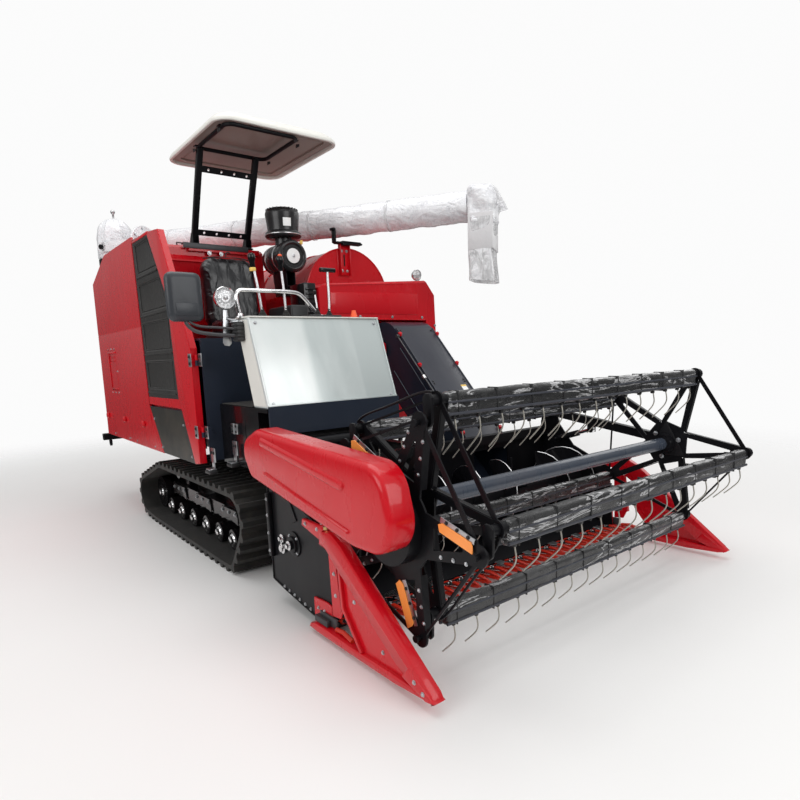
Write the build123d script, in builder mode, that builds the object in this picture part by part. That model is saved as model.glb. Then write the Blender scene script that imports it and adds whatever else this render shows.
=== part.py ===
from build123d import *
import math
import os

# Tracked rice combine harvester with a 2.2 m pick-up reel header, about 4.7 m long.
# Millimetres: +X forward, +Y to the machine's left, +Z up.
# Origin: on the ground, under the middle of the tracks' contact length and between the tracks.

os.makedirs("parts", exist_ok=True)

# ---- undercarriage ----
track_gauge = 1190            # between the two belts' centre lines
belt_width = 450
belt_thick = 22
lug_height = 25
lug_root = 8                  # how far a lug's base sinks into the belt
lug_count = 51                # one lug every 90 mm or so
wheel_gap = 0.4               # between a belt and the wheels inside it
roller_radius = 65
roller_face = 50              # width of one of a roller's two rims
roller_track = 140            # between the two rims' centres
roller_xs = (-620, -380, -130, 120, 350, 570, 810)
idler_centre, idler_radius = (-845, 185), 125
sprocket_centre, sprocket_radius = (885, 330), 130
carrier_centre, carrier_radius = (-400, 408), 50
sprocket_teeth = 9
beam_height, beam_width, beam_low = 90, 110, 200

# ---- main frame ----
rail_y, rail_width, rail_high, rail_deep = 330, 70, 640, 110
frame_rear, frame_front = -1780, 1180
bumper_reach = 900            # each side of the middle
axle_xs = (-560, 20, 520)     # cross beams that carry the running gear

# ---- bodywork ----
side_y = -880                 # outer face of the right-hand covers
wall_y = -835                 # inner limit of the right-hand covers
body_low = 615
tank_left = 20
tank_rear_top, tank_top = -1495, 2005
thresher_right, thresher_left = 120, 1110
thresher_front, thresher_rear = 150, -1700
thresher_low, thresher_high = 660, 1640
side_doors = (((-1380, -760), (740, 1180)), ((-1380, -760), (1240, 1560)), ((-640, -120), (1240, 1560)))
door_proud = 8                # how far the doors on the left side stand out
belt_rounds, belt_cover = ((-480, 960, 160), (-60, 820, 90)), 50      # x, z, radius of each round; depth
hood_front, hood_back = 420, 60
hood_lip, hood_crown = 1460, 1760
drum_y, drum_radius = 590, 370
bonnet_front, bonnet_rear = 700, -250
bonnet_high = 1330
sheet = 12                    # folded sheet panels, drawn a little thick
floor_z, floor_thick = 960, 20
floor_right = -750
dash_right, dash_left = -740, 50
dash_high = 1410

# ---- canopy ----
canopy_x, canopy_y, canopy_z = (-540, 380), (-520, 330), 2610
post_ys = (-450, -60)
post_foot, post_lean = (-300, 2030), 259      # foot's x, z; how far the head stands ahead of it
post_size = 38

# ---- grain unloading ----
auger_foot = (-1800, -600)    # x, y of the standing auger
auger_radius = 105
boom_start, boom_end = (-1800, -600, 2200), (840, 1128, 2220)
boom_radius = 105
boom_gap = 300                # from the standing auger's axis to the boom's near end
spout_low, spout_long, spout_wide = 1690, 200, 280

# ---- header ----
lift_pivot = (450, 1250)      # x, z of the feeder's top shaft
feeder_y, feeder_width = 800, 360
table_right, table_left = -790, 1330
plate_thick = 8
table_back, table_low = 1330, 85
auger_x, auger_z = 1580, 350
auger_tube, flight_radius, flight_pitch = 110, 205, 260
knife_x, knife_z = 1915, 66
guard_pitch, guard_reach = 76.2, 130

# ---- reel ----
reel_x, reel_z, reel_radius = 2305, 655, 413
reel_sides = (-655, 1200)     # y of the two spiders
reel_phase = -2               # degrees, first arm above +X
reel_arms = 5
eccentric_y, eccentric_drop = -738, 70
shaft_radius = 30
bat_radius = 21
bat_ends = (-690, 1235)
board_drop, board_half = 85, 11   # the board that hangs below each bat's pipe
tine_drop, tine_back, tine_pitch, tine_radius = 208, 60, 122, 3.5
tine_bend = (16, -122)        # x, z of the bend below a bat's pipe
arm_pivot = (1412, 785)
arm_ys = (-815, 1290)
running = 0.5                 # play between a shaft and its bearing
seat_gap = 0.3                # between pieces that rest against each other
disc_radius = 140             # eccentric disc that steers the bats
tie_deep, tie_thick = 20, 5   # bars between neighbouring tips of a spider
cover_out, cover_in = -905, -797
cover_rounds = ((1420, 775, 85), (1500, 795, 98), (2330, 715, 130), (2350, 650, 128), (2250, 640, 120),
                (1440, 720, 70))      # x, z, radius of the circles that the cover's outline is drawn round
cover_ribs = (((1545, 842), (2215, 740), 52), ((1560, 700), (2235, 575), 20))   # ends, width

# ---- side cover ----
cover_face, cover_back = -880, -845
hinge_x, hinge_y = 700, -860  # the upright hinge pins
hinge_heights = (780, 1180)   # lower end of each hinge
hinge_tall = 60
knuckle_radius, hinge_pin = 8, 4

# ---- cylinders: base pin, rod eye pin (x, z), sizes ----
lift_base, lift_eye, lift_y = (590, 370), (1200, 540), 230
lift_barrel, lift_rod = (32, 21, 480), 20.5      # outer radius, bore radius, length; rod radius
swing_base, swing_eye, swing_ys = (1500, 600), (1760, 680), (-750, 1290)
swing_barrel, swing_rod = (20, 12.5, 170), 12


def side_plane(y):
    """Sketch plane that stands along the machine: local x is X and local y is Z."""
    return Plane.XZ.offset(-y)


def slab(points, y_low, y_high, mode=Mode.ADD):
    """Side profile of (x, z) points, as thick as from y_low to y_high."""
    with BuildSketch(side_plane(y_low)) as outline:
        with BuildLine():
            Polyline(*points, close=True)
        make_face()
    extrude(outline.sketch, amount=y_low - y_high, mode=mode)


def block(xs, ys, zs, mode=Mode.ADD):
    """Box between three pairs of limits."""
    centre = tuple((a + b) / 2 for a, b in (xs, ys, zs))
    with Locations(centre):
        Box(*[abs(b - a) for a, b in (xs, ys, zs)], mode=mode)


def bar(start, end, wide, deep, across=(0, 1, 0)):
    """Rectangular bar between two points, wide along the direction across."""
    start, end = Vector(*start), Vector(*end)
    with BuildSketch(Plane(origin=start, x_dir=across, z_dir=end - start)) as section:
        Rectangle(wide, deep)
    extrude(section.sketch, amount=(end - start).length)


def rod(start, end, radius, mode=Mode.ADD):
    """Round bar between two points."""
    start, end = Vector(*start), Vector(*end)
    with BuildSketch(Plane(origin=start, z_dir=end - start)) as section:
        Circle(radius)
    extrude(section.sketch, amount=(end - start).length, mode=mode)


def disc(x, z, y_low, y_high, radius, mode=Mode.ADD):
    """Round plate across the machine."""
    rod((x, y_low, z), (x, y_high, z), radius, mode)


def keep(piece, name):
    """Label a finished piece and write it out."""
    piece.part.label = name
    export_step(piece.part, f"parts/{name}.step")


def polar(centre, radius, angle):
    """Point (x, z) at an angle in degrees above +X."""
    a = math.radians(angle)
    return (centre[0] + radius * math.cos(a), centre[1] + radius * math.sin(a))


# ================= undercarriage =================
wheels = [(idler_centre, idler_radius), (sprocket_centre, sprocket_radius),
          (carrier_centre, carrier_radius)]
ground_z = belt_thick + lug_height + roller_radius
wheels += [((x, ground_z), roller_radius) for x in roller_xs]


def belt_face(proud):
    """Loop drawn tight round all wheels, at a height proud of their rims."""
    with BuildSketch() as loop:
        for centre, radius in wheels:
            with Locations(centre):
                Circle(radius + proud)
        make_hull()
    return loop.sketch


belt_outer = belt_face(belt_thick)
belt_inner = belt_face(0)
belt_line = belt_outer.wires()[0]
lug_pitch = belt_line.length / lug_count


def lugs(phase):
    """Tread bars round the belt, shifted by a share of their pitch."""
    for count in range(lug_count):
        run = (count + phase) * lug_pitch % belt_line.length
        spot = belt_line.position_at(run, position_mode=PositionMode.LENGTH)
        along = belt_line.tangent_at(run, position_mode=PositionMode.LENGTH)
        turn = math.degrees(math.atan2(along.Y, along.X)) + lug_turn
        with Locations(Location((spot.X, spot.Y, 0), (0, 0, turn))):
            with Locations((0, -lug_root)):
                Trapezoid(60, lug_height + lug_root, 62, align=(Align.CENTER, Align.MIN))


def signed_area(wire):
    """Positive when the wire runs anticlockwise."""
    ends = [wire.position_at(k / 40) for k in range(40)]
    return sum(a.X * b.Y - b.X * a.Y for a, b in zip(ends, ends[1:] + ends[:1]))


lug_turn = 180 if signed_area(belt_line) > 0 else 0

for name, centre_y in (("track_right", -track_gauge / 2), ("track_left", track_gauge / 2)):
    with BuildPart() as track:
        for low, phase in ((-belt_width / 2, 0), (0, 0.5)):
            with BuildSketch(side_plane(centre_y + low)):
                add(belt_outer)
                lugs(phase)
                add(belt_inner, mode=Mode.SUBTRACT)
            extrude(amount=-belt_width / 2)
    keep(track, name)

for name, centre_y in (("running_gear_right", -track_gauge / 2),
                       ("running_gear_left", track_gauge / 2)):
    with BuildPart() as gear:
        beam_high = beam_low + beam_height
        block((roller_xs[0] - 60, roller_xs[-1] - 40), (centre_y - beam_width / 2,
              centre_y + beam_width / 2), (beam_low, beam_high))
        reach = (roller_track + roller_face) / 2
        for x in roller_xs:
            disc(x, ground_z, centre_y - reach, centre_y + reach, roller_radius - wheel_gap)
        for (x, z), radius in ((idler_centre, idler_radius), (carrier_centre, carrier_radius)):
            for side in (-1, 1):
                rim_y = centre_y + side * roller_track / 2
                disc(x, z, rim_y - roller_face / 2, rim_y + roller_face / 2, radius - wheel_gap)
            disc(x, z, centre_y - roller_track / 2, centre_y + roller_track / 2, radius * 0.5)
        for x in roller_xs:
            block((x - 22, x + 22), (centre_y - 32, centre_y + 32), (ground_z, beam_low + 5))
        bar((idler_centre[0], centre_y, idler_centre[1]), (roller_xs[0] - 50, centre_y, beam_low + 45),
            60, 60)
        bar((carrier_centre[0], centre_y, carrier_centre[1]), (carrier_centre[0], centre_y, beam_low),
            60, 50)
    keep(gear, name)

with BuildPart() as drive_axle:
    for side in (-1, 1):
        mid = side * track_gauge / 2
        with BuildSketch(side_plane(mid - 30)):
            with Locations(sprocket_centre):
                Circle(sprocket_radius - wheel_gap)
                with PolarLocations(sprocket_radius, sprocket_teeth):
                    Trapezoid(52, 44, 70, rotation=90, mode=Mode.SUBTRACT)
                with PolarLocations(sprocket_radius * 0.55, sprocket_teeth, start_angle=20):
                    RegularPolygon(15, 6, mode=Mode.SUBTRACT)
        extrude(amount=-60)
        disc(*sprocket_centre, mid - side * 150, mid + side * 45, 48)
keep(drive_axle, "drive_sprockets")

hub_inner = track_gauge / 2 - 150
with BuildPart() as gearbox:
    gx, gz = sprocket_centre
    slab([(gx - 110, gz - 60), (gx - 60, gz - 110), (gx + 60, gz - 110), (gx + 110, gz - 60),
          (gx + 110, rail_high - rail_deep), (gx - 110, rail_high - rail_deep)], -150, 150)
    disc(gx, gz, -hub_inner, hub_inner, 62)
    for side in (-1, 1):
        disc(gx, gz, side * (hub_inner - 30), side * hub_inner, 95)
        block((gx - 40, gx + 40), (side * (rail_y - 30), side * (rail_y + 30)),
              (gz + 40, rail_high - rail_deep))
keep(gearbox, "gearbox")

# ================= main frame =================
with BuildPart() as frame:
    for y in (-rail_y, rail_y):
        block((frame_rear, frame_front), (y - rail_width / 2, y + rail_width / 2),
              (rail_high - rail_deep, rail_high))
    for x in (frame_rear + 40, -1150, -560, 20, 520):
        block((x - 35, x + 35), (-rail_y, rail_y), (rail_high - 80, rail_high))
    nose = (frame_front - 75, frame_front - 5)
    block(nose, (-rail_y, rail_y), (400, 470))
    for y in (-rail_y, rail_y):
        block(nose, (y - 30, y + 30), (400, rail_high - rail_deep + 5))
    for y in (lift_y - 28, lift_y + 18):
        slab([(490, beam_low + 80), (560, beam_low + 80), (lift_base[0] + 24, lift_base[1] - 14),
              (lift_base[0] + 24, lift_base[1] + 20), (lift_base[0] - 24, lift_base[1] + 24)], y, y + 10)
    disc(*lift_base, lift_y - 28, lift_y + 28, 12)
    block((frame_rear, frame_rear + 60), (-bumper_reach, bumper_reach), (545, 600))
    for x in axle_xs:
        reach = track_gauge / 2 - beam_width / 2
        block((x - 45, x + 45), (-reach, reach), (beam_low + 5, beam_low + 85))
        for y in (-rail_y, rail_y):
            block((x - 40, x + 40), (y - 30, y + 30), (beam_low + 40, rail_high - rail_deep + 5))
    with BuildSketch(side_plane(-bumper_reach + 50)) as ring:
        with Locations((frame_rear + 30, 521)):
            Circle(34)
            Circle(21, mode=Mode.SUBTRACT)
    extrude(ring.sketch, amount=-14)
keep(frame, "chassis_frame")

with BuildPart() as engine:
    block((-180, 520), (-560, -60), (rail_high, 1200))
keep(engine, "engine_block")

# ================= thresher and grain tank =================
with BuildPart() as thresher:
    slab([(thresher_front, thresher_low), (thresher_front, thresher_high),
          (-1480, thresher_high), (thresher_rear, 1330), (thresher_rear, 900), (-1420, thresher_low)],
         thresher_right, thresher_left)
    for x in (-1300, -400):
        block((x - 30, x + 30), (thresher_right + 30, rail_y + rail_width / 2),
              (rail_high, thresher_low + 5))
    for xs, zs in side_doors:
        block(xs, (thresher_left - 1, thresher_left + door_proud), zs)
    with BuildSketch(side_plane(thresher_left - 1)) as belts:
        for x, z, radius in belt_rounds:
            with Locations((x, z)):
                Circle(radius)
        make_hull()
    extrude(belts.sketch, amount=-(belt_cover + 1))
    for y in (feeder_y - feeder_width / 2 - 30, feeder_y + feeder_width / 2 + 20):
        slab([(thresher_front, 1130), (thresher_front, 1380), (lift_pivot[0], 1310), (lift_pivot[0] + 50, 1280),
              (lift_pivot[0] + 50, 1220), (lift_pivot[0], 1190)], y, y + 10)
        disc(*lift_pivot, y - 1, y + 11, 25 + running, mode=Mode.SUBTRACT)
keep(thresher, "thresher_body")

with BuildPart() as drum_cover:
    with BuildSketch(Plane.YZ.offset(-1400)):
        with Locations((drum_y, thresher_high)):
            Circle(drum_radius)
            with Locations((0, -drum_radius / 2 - 1)):
                Rectangle(2 * drum_radius + 4, drum_radius + 2, mode=Mode.SUBTRACT)
    extrude(amount=1400 + hood_back)
    shoulder = drum_y + drum_radius + 60
    block((-1400, hood_back), (drum_y - drum_radius - 60, shoulder), (thresher_high, thresher_high + 30))
keep(drum_cover, "drum_cover")

with BuildPart() as hood:
    y_in, y_out = thresher_right - 10, thresher_left + 60
    with BuildSketch(Plane.YZ.offset(hood_back)):
        with BuildLine():
            Polyline((y_in, hood_lip), (y_in, hood_crown - 90), (y_in + 60, hood_crown - 60),
                     (y_out - 110, hood_crown), (y_out - 20, hood_crown - 110), (y_out, 1050),
                     (y_out - 110, 1050), (y_out - 110, hood_lip), close=True)
        make_face()
    extrude(amount=hood_front - hood_back)
    fillet(hood.edges().group_by(Axis.X)[-1].group_by(Axis.Z)[-1], 20)
    block((hood_back - 1, thresher_front), (0, thresher_left + 70), (1000, 1800), mode=Mode.SUBTRACT)
keep(hood, "thresher_hood")

with BuildPart() as straw_hood:
    slab([(thresher_rear, 1330), (thresher_rear - 160, 1200), (thresher_rear - 160, 760),
          (thresher_rear - 148, 760), (thresher_rear - 148, 1192), (thresher_rear, 1312)],
         thresher_right + 60, thresher_left - 60)
    for y in (thresher_right + 60, thresher_left - 72):
        slab([(thresher_rear, 1330), (thresher_rear - 160, 1200), (thresher_rear - 160, 760),
              (thresher_rear, 900)], y, y + sheet)
keep(straw_hood, "straw_hood")

with BuildPart() as tank:
    slab([(-1570, body_low), (tank_rear_top, 1850), (-1040, tank_top), (bonnet_rear - 62, tank_top),
          (bonnet_rear - 62, body_low)], side_y + sheet, tank_left)
    block((-1000, -420), (-760, -140), (tank_top - 1, tank_top + 14))
    for x in (-1300, -700):
        block((x - 40, x + 40), (-rail_y - rail_width / 2, -rail_y + rail_width / 2),
              (rail_high - 1, body_low + 60), mode=Mode.SUBTRACT)
    block((-1571, bonnet_rear), (-rail_y - rail_width / 2 - 5, tank_left + 1), (rail_high - 60, rail_high),
          mode=Mode.SUBTRACT)
keep(tank, "grain_tank")

with BuildPart() as tank_side:
    slab([(-1610, body_low), (-1530, 1860), (-1040, 2020), (bonnet_rear - 8, 2020),
          (bonnet_rear + 12, 925), (-12, body_low)], side_y, side_y + sheet)
    with Locations((-1150, side_y + 6, 1150)):
        Box(240, 30, 300, mode=Mode.SUBTRACT)
    block((-1265, -1035), (side_y + 2, side_y + sheet), (1005, 1295))
keep(tank_side, "tank_side_panel")

# ================= hinged side cover =================
strip_edge = [(85, 1990), (363, 1575), (397, 994), (430, 930), (590, body_low + 3)]
with BuildPart() as strip:
    slab(strip_edge[:-1] + [(595, body_low + 5), (676, body_low + 15), (678, 1277), (313, 1968)],
         cover_face, cover_back)
    block((-225, 450), (cover_back - 10, cover_back), (908, 940))
    slab([(-243, 1990), (-222, 930), (10, body_low + 10), (40, body_low + 10), (-195, 940), (-210, 1990)],
         cover_back - 10, cover_back)
    slab([(-243, 1990), (-243, 1965), (120, 1955), (120, 1985)], cover_back - 10, cover_back)
    for low in hinge_heights:
        middle = low + hinge_tall / 2
        rod((hinge_x, hinge_y, middle + 1), (hinge_x, hinge_y, low + hinge_tall), knuckle_radius)
        block((660, hinge_x - 3), (hinge_y - 4, hinge_y + 4), (middle + 1, low + hinge_tall))
        rod((hinge_x, hinge_y, middle), (hinge_x, hinge_y, low + hinge_tall + 1), hinge_pin + running,
            mode=Mode.SUBTRACT)
keep(strip, "cover_strip")

screen_low, screen_high, screen_bays = 931, 2000, 5
screen_rim, screen_recess = 14, 8     # width of the raised frame round each bay, and its depth
screen_edge = [(bonnet_rear, screen_high), (83, 1990), (361, 1575), (395, 994), (427, screen_low),
               (bonnet_rear + 20, screen_low)]
with BuildPart() as screen:
    slab(screen_edge, cover_face, cover_back - 10)
    with BuildSketch(side_plane(cover_face)) as bays:
        with BuildLine():
            Polyline(*screen_edge, close=True)
        make_face()
        offset(amount=-screen_rim, kind=Kind.INTERSECTION)
        bay_tall = (screen_high - screen_low) / screen_bays
        with Locations(*[(0, screen_low + bay_tall * count) for count in range(1, screen_bays)]):
            Rectangle(1000, 2 * screen_rim, mode=Mode.SUBTRACT)
    extrude(bays.sketch, amount=-screen_recess, mode=Mode.SUBTRACT)
keep(screen, "radiator_screen")

with BuildPart() as lower_panel:
    slab([(bonnet_rear + 20, 918), (433, 918), (587, body_low + 3), (-2, body_low + 3)],
         cover_face, cover_back - 10)
keep(lower_panel, "cover_lower_panel")

# ================= driver's station =================
with BuildPart() as bonnet:
    block((bonnet_rear, bonnet_front), (wall_y + 5, tank_left + 20), (rail_high + 2, bonnet_high))
    block((bonnet_rear - 1, bonnet_front - sheet), (wall_y, tank_left + 8), (rail_high, bonnet_high - sheet),
          mode=Mode.SUBTRACT)
    for low in hinge_heights:
        rod((hinge_x, hinge_y, low), (hinge_x, hinge_y, low + hinge_tall / 2 - 1), knuckle_radius)
        rod((hinge_x, hinge_y, low), (hinge_x, hinge_y, low + hinge_tall), hinge_pin)
        block((hinge_x, hinge_x + 4), (hinge_y, wall_y + 40), (low, low + hinge_tall / 2 - 1))
keep(bonnet, "engine_bonnet")

with BuildPart() as seat_wall:
    slab([(bonnet_rear, bonnet_high), (bonnet_rear, 1980), (bonnet_rear - 30, 2000),
          (bonnet_rear - 60, 1980), (bonnet_rear - 60, bonnet_high)], wall_y + 10, tank_left + 20)
    block((bonnet_rear, bonnet_rear + 30), (-520, 0), (1960, 1995))
    slab([(bonnet_rear - 5, bonnet_high), (bonnet_rear - 5, 1975), (55, 1965), (330, 1560), (335, bonnet_high)],
         wall_y - 3, wall_y + 35)
keep(seat_wall, "seat_wall")

with BuildPart() as radiator:
    block((-210, 330), (wall_y + 50, wall_y + 120), (rail_high + 20, bonnet_high - sheet - seat_gap))
keep(radiator, "radiator")

with BuildPart() as platform:
    block((bonnet_front, 1310), (floor_right, tank_left + 20), (floor_z - floor_thick, floor_z))
    block((bonnet_front, 1200), (floor_right, floor_right + sheet), (rail_high - 10, floor_z - floor_thick))
    block((1188, 1200), (floor_right + sheet, tank_left), (rail_high - 10, floor_z - floor_thick))
    block((bonnet_front, 1200), (floor_right, -rail_y), (rail_high, rail_high + 20))
keep(platform, "platform")

with BuildPart() as dash:
    slab([(1000, dash_high), (1150, dash_high), (1310, floor_z), (1140, floor_z)], dash_right, dash_left)
keep(dash, "dash_box")

with BuildPart() as skirt:
    block((1310 + seat_gap, 1325), (dash_right - 5, dash_left + 5), (830, floor_z + 12))
keep(skirt, "dash_skirt")

seat_ys = (-580, -150)
cushion_xs, cushion_zs = (110, 520), (1370, 1470)
base_top = cushion_zs[0] - seat_gap
with BuildPart() as seat:
    block(cushion_xs, seat_ys, cushion_zs)
    fillet(seat.edges().filter_by(Axis.Z), 60)
    chamfer(seat.faces().sort_by(Axis.Z)[-1].edges(), 22)
keep(seat, "seat_cushion")

back_thick, back_tall, back_lean = 110, 535, 0.12
lean = math.atan(back_lean)
with BuildPart() as seat_back:
    sole_z = base_top + seat_gap + back_thick * math.sin(lean)
    sole = Plane(origin=(cushion_xs[0] - 1, sum(seat_ys) / 2, sole_z), x_dir=(0, -1, 0),
                 z_dir=(-1, 0, -back_lean))
    with BuildSketch(sole) as outline:
        with Locations((0, back_tall / 2)):
            RectangleRounded(seat_ys[1] - seat_ys[0] + 10, back_tall, 100)
    extrude(outline.sketch, amount=back_thick)
keep(seat_back, "seat_back")

with BuildPart() as seat_base:
    block((-10, cushion_xs[1] - 60), (seat_ys[0] + 40, seat_ys[1] - 40), (bonnet_high, base_top))
keep(seat_base, "seat_base")

rail_x, rail_radius = 1120, 12.5
with BuildPart() as handrail:
    with BuildLine(Plane.YZ.offset(rail_x)) as rail_path:
        FilletPolyline((-680, dash_high), (-680, 1550), (-260, 1550), (-260, dash_high), radius=55)
    with BuildSketch(Plane.XY.offset(dash_high)) as section:
        with Locations((rail_x, -680)):
            Circle(rail_radius)
    sweep(section.sketch, path=rail_path.line)
keep(handrail, "handrail")

lever_radius, knob_radius, grip_radius, grip_half = 8, 22, 13, 45
levers_at = ((1060, -618, -646, 1716), (1060, -482, -487, 1712), (1060, -213, -199, 1682),
             (1100, -312, -312, 1560))        # x and y at the foot, y and z at the head
with BuildPart() as levers:
    for count, (x, y, head_y, high) in enumerate(levers_at):
        with Locations((x, y, dash_high + 20)):
            Cone(26, 12, 40)
        head = (x - 18, head_y, high)
        rod((x, y, dash_high + 20), head, lever_radius)
        if count == 2:
            rod((head[0], head_y - grip_half, high), (head[0], head_y + grip_half, high), grip_radius)
        else:
            rod((head[0], head_y, high - 25), (head[0], head_y, high + 22), knob_radius)
keep(levers, "control_levers")

cleaner_y, cleaner_z, cleaner_radius = 60, 1905, 100
with BuildPart() as cleaner:
    with BuildSketch(side_plane(cleaner_y)) as canister:
        with BuildLine():
            Polyline((-120, cleaner_z), (-120, cleaner_z + 84), (-104, cleaner_z + cleaner_radius),
                     (150, cleaner_z + cleaner_radius), (150, cleaner_z + 110), (186, cleaner_z + 110),
                     (200, cleaner_z + 96), (192, cleaner_z + 78), (192, cleaner_z), close=True)
        make_face()
    revolve(canister.sketch, axis=Axis((0, cleaner_y, cleaner_z), (1, 0, 0)))
    with BuildSketch(side_plane(cleaner_y)) as bowl:
        with BuildLine():
            Polyline((60, 1980), (120, 1980), (120, 2036), (176, 2036), (186, 2048), (186, 2072), (168, 2084),
                     (178, 2180), (160, 2208), (110, 2220), (60, 2222), close=True)
        make_face()
    revolve(bowl.sketch, axis=Axis((60, cleaner_y, 0), (0, 0, 1)))
    block((-60, 140), (20, 100), (1700, 1830))
    block((-60, 58), (20, drum_y - drum_radius - 62), (1640, 1705))
keep(cleaner, "air_cleaner")

with BuildPart() as mirror:
    with BuildSketch(Plane.YZ.offset(985)):
        with Locations((-995, 1515)):
            RectangleRounded(175, 235, 35)
    extrude(amount=40)
    rod((1000, -985, 1400), (1000, -960, 1360), 8)
    rod((1000, -960, 1360), (1060, dash_right - 20, 1350), 8)
    block((1040, 1100), (dash_right - 40, dash_right), (1310, 1380))
keep(mirror, "mirror_and_arm")

with BuildPart() as lamps:
    with BuildSketch(side_plane(-800)) as bowl:
        with BuildLine():
            Polyline((955, 1515), (955, 1548), (972, 1566), (1004, 1577), (1030, 1577), (1030, 1569),
                     (1012, 1558), (1000, 1515), close=True)
        make_face()
    revolve(bowl.sketch, axis=Axis((0, -800, 1515), (1, 0, 0)))
    bar((1000, -800, 1462), (1060, dash_right - 17, 1395), 30, 6)
    block((1030, 1095), (dash_right - 16, dash_right - seat_gap), (1392, 1408))
keep(lamps, "headlamp")

with BuildPart() as posts:
    foot, head = post_foot, (post_foot[0] + post_lean, canopy_z - 30)
    for y in post_ys:
        bar((foot[0], y, foot[1]), (head[0], y, head[1]), post_size, post_size)
        block((foot[0] - 45, foot[0] + 45), (y - 30, y + 30), (tank_top + seat_gap, foot[1] + 12))
    for share in (0.12, 0.28):
        x, z = (a + (b - a) * share for a, b in zip(foot, head))
        bar((x, post_ys[0], z), (x, post_ys[1], z), 40, 8, across=(0.5, 0, 1))
    roof_frame_z = canopy_z - 12
    xs = (canopy_x[0] + 200, canopy_x[1] - 130)
    ys = (post_ys[0] - 20, post_ys[1] + 20)
    for x in xs:
        block((x - 15, x + 15), ys, (roof_frame_z - 20, roof_frame_z))
    for y in post_ys:
        block(xs, (y - 20, y + 20), (roof_frame_z - 20, roof_frame_z))
keep(posts, "canopy_posts")

with BuildPart() as roof:
    middle = (sum(canopy_x) / 2, sum(canopy_y) / 2)
    with BuildSketch(Plane.XY.offset(canopy_z - 11.7)):
        with Locations(middle):
            RectangleRounded(canopy_x[1] - canopy_x[0], canopy_y[1] - canopy_y[0], 110)
    extrude(amount=85, taper=35)
    lining = (canopy_x[1] - canopy_x[0] - 50, canopy_y[1] - canopy_y[0] - 50)
    with BuildSketch(Plane.XY.offset(canopy_z - 12)) as groove:
        with Locations(middle):
            RectangleRounded(*lining, 90)
        with Locations((sum(xs) / 2, sum(ys) / 2)):
            RectangleRounded(xs[1] - xs[0] + 110, ys[1] - ys[0] + 110, 60, mode=Mode.SUBTRACT)
            RectangleRounded(xs[1] - xs[0] - 60, ys[1] - ys[0] - 110, 40)
    extrude(groove.sketch, amount=18, mode=Mode.SUBTRACT)
keep(roof, "canopy_roof")

# ================= grain unloading =================
foot_x, foot_y = auger_foot
with BuildPart() as standing:
    rod((foot_x, foot_y, 660), (foot_x, foot_y, 2049), auger_radius)
    for z in (1240, 2037):
        rod((foot_x, foot_y, z), (foot_x, foot_y, z + 12), auger_radius + 28)
    tank_slope = (tank_rear_top + 1570) / (1850 - body_low)
    for low, high, half in ((700, 860, 90), (1780, 1845, 60)):
        reach = [-1570.3 + (z - body_low) * tank_slope for z in (low, high)]
        slab([(foot_x, low), (reach[0], low), (reach[1], high), (foot_x, high)], foot_y - half, foot_y + half)
keep(standing, "standing_auger")

along = (Vector(*boom_end) - Vector(*boom_start)).normalized()
flat = Vector(along.X, along.Y, 0).normalized()
side = Vector(0, 0, 1).cross(flat)
with BuildPart() as elbow:
    with BuildSketch(Plane.XZ.offset(-foot_y)):
        with BuildLine():
            Polyline((foot_x, 2050), (foot_x + 150, 2050), (foot_x + 150, 2310), (foot_x + 128, 2385),
                     (foot_x + 75, 2440), (foot_x, 2460), close=True)
        make_face()
    revolve(axis=Axis((foot_x, foot_y, 0), (0, 0, 1)))
    pivot = Vector(*boom_start)
    rod(pivot - side * 185, pivot + side * 185, 20)
    rod((foot_x, foot_y, 2450), (foot_x, foot_y, 2510), 8)
    rod((foot_x, foot_y, 2505), (foot_x, foot_y, 2535), 18)
keep(elbow, "auger_elbow")

with BuildPart() as boom:
    near, far = pivot + along * boom_gap, Vector(*boom_end)
    rod(near, far, boom_radius)
    rod(near, near + along * 25, boom_radius + 65)
    for hand in (-1, 1):
        ear = side * hand * 164
        with BuildSketch(Plane(origin=pivot + ear - side * 6, x_dir=along, z_dir=side)) as plate:
            SlotCenterPoint((boom_gap / 2, 0), (0, 0), 90)
            Circle(20 + running, mode=Mode.SUBTRACT)
        extrude(plate.sketch, amount=12)
keep(boom, "unloading_tube")

with BuildPart() as spout:
    middle = far + flat * (spout_long / 2 + 1)
    with BuildSketch(Plane(origin=(middle.X, middle.Y, spout_low), x_dir=flat)) as section:
        Rectangle(spout_long, spout_wide)
    extrude(section.sketch, amount=boom_end[2] + boom_radius + 20 - spout_low)
    with BuildSketch(Plane(origin=(middle.X, middle.Y, spout_low - 1), x_dir=flat)) as section:
        Rectangle(spout_long - 12, spout_wide - 12)
    extrude(section.sketch, amount=boom_end[2] - boom_radius - spout_low, mode=Mode.SUBTRACT)
keep(spout, "unloading_spout")

with BuildPart() as cradle:
    rest_x, rest_y = 80, 617
    share = (rest_x - boom_start[0]) / (boom_end[0] - boom_start[0])
    rest_z = boom_start[2] + (boom_end[2] - boom_start[2]) * share - boom_radius - 1
    block((hood_back, hood_back + 60), (rest_y - 45, rest_y + 45), (1820, rest_z - 14))
    block((hood_back, hood_back + 60), (rest_y - 120, rest_y + 110), (rest_z - 14, rest_z))
    block((hood_back, hood_back + 60), (rest_y - 160, rest_y - 135), (rest_z - 14, rest_z + 60))
    block((hood_back, hood_back + 60), (rest_y - 160, rest_y - 100), (rest_z - 14, rest_z))
keep(cradle, "boom_cradle")

# ================= header =================
pivot_x, pivot_z = lift_pivot
feeder_low, feeder_up = feeder_y - feeder_width / 2, feeder_y + feeder_width / 2
mouth_low, mouth_high = 190, 600


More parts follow.
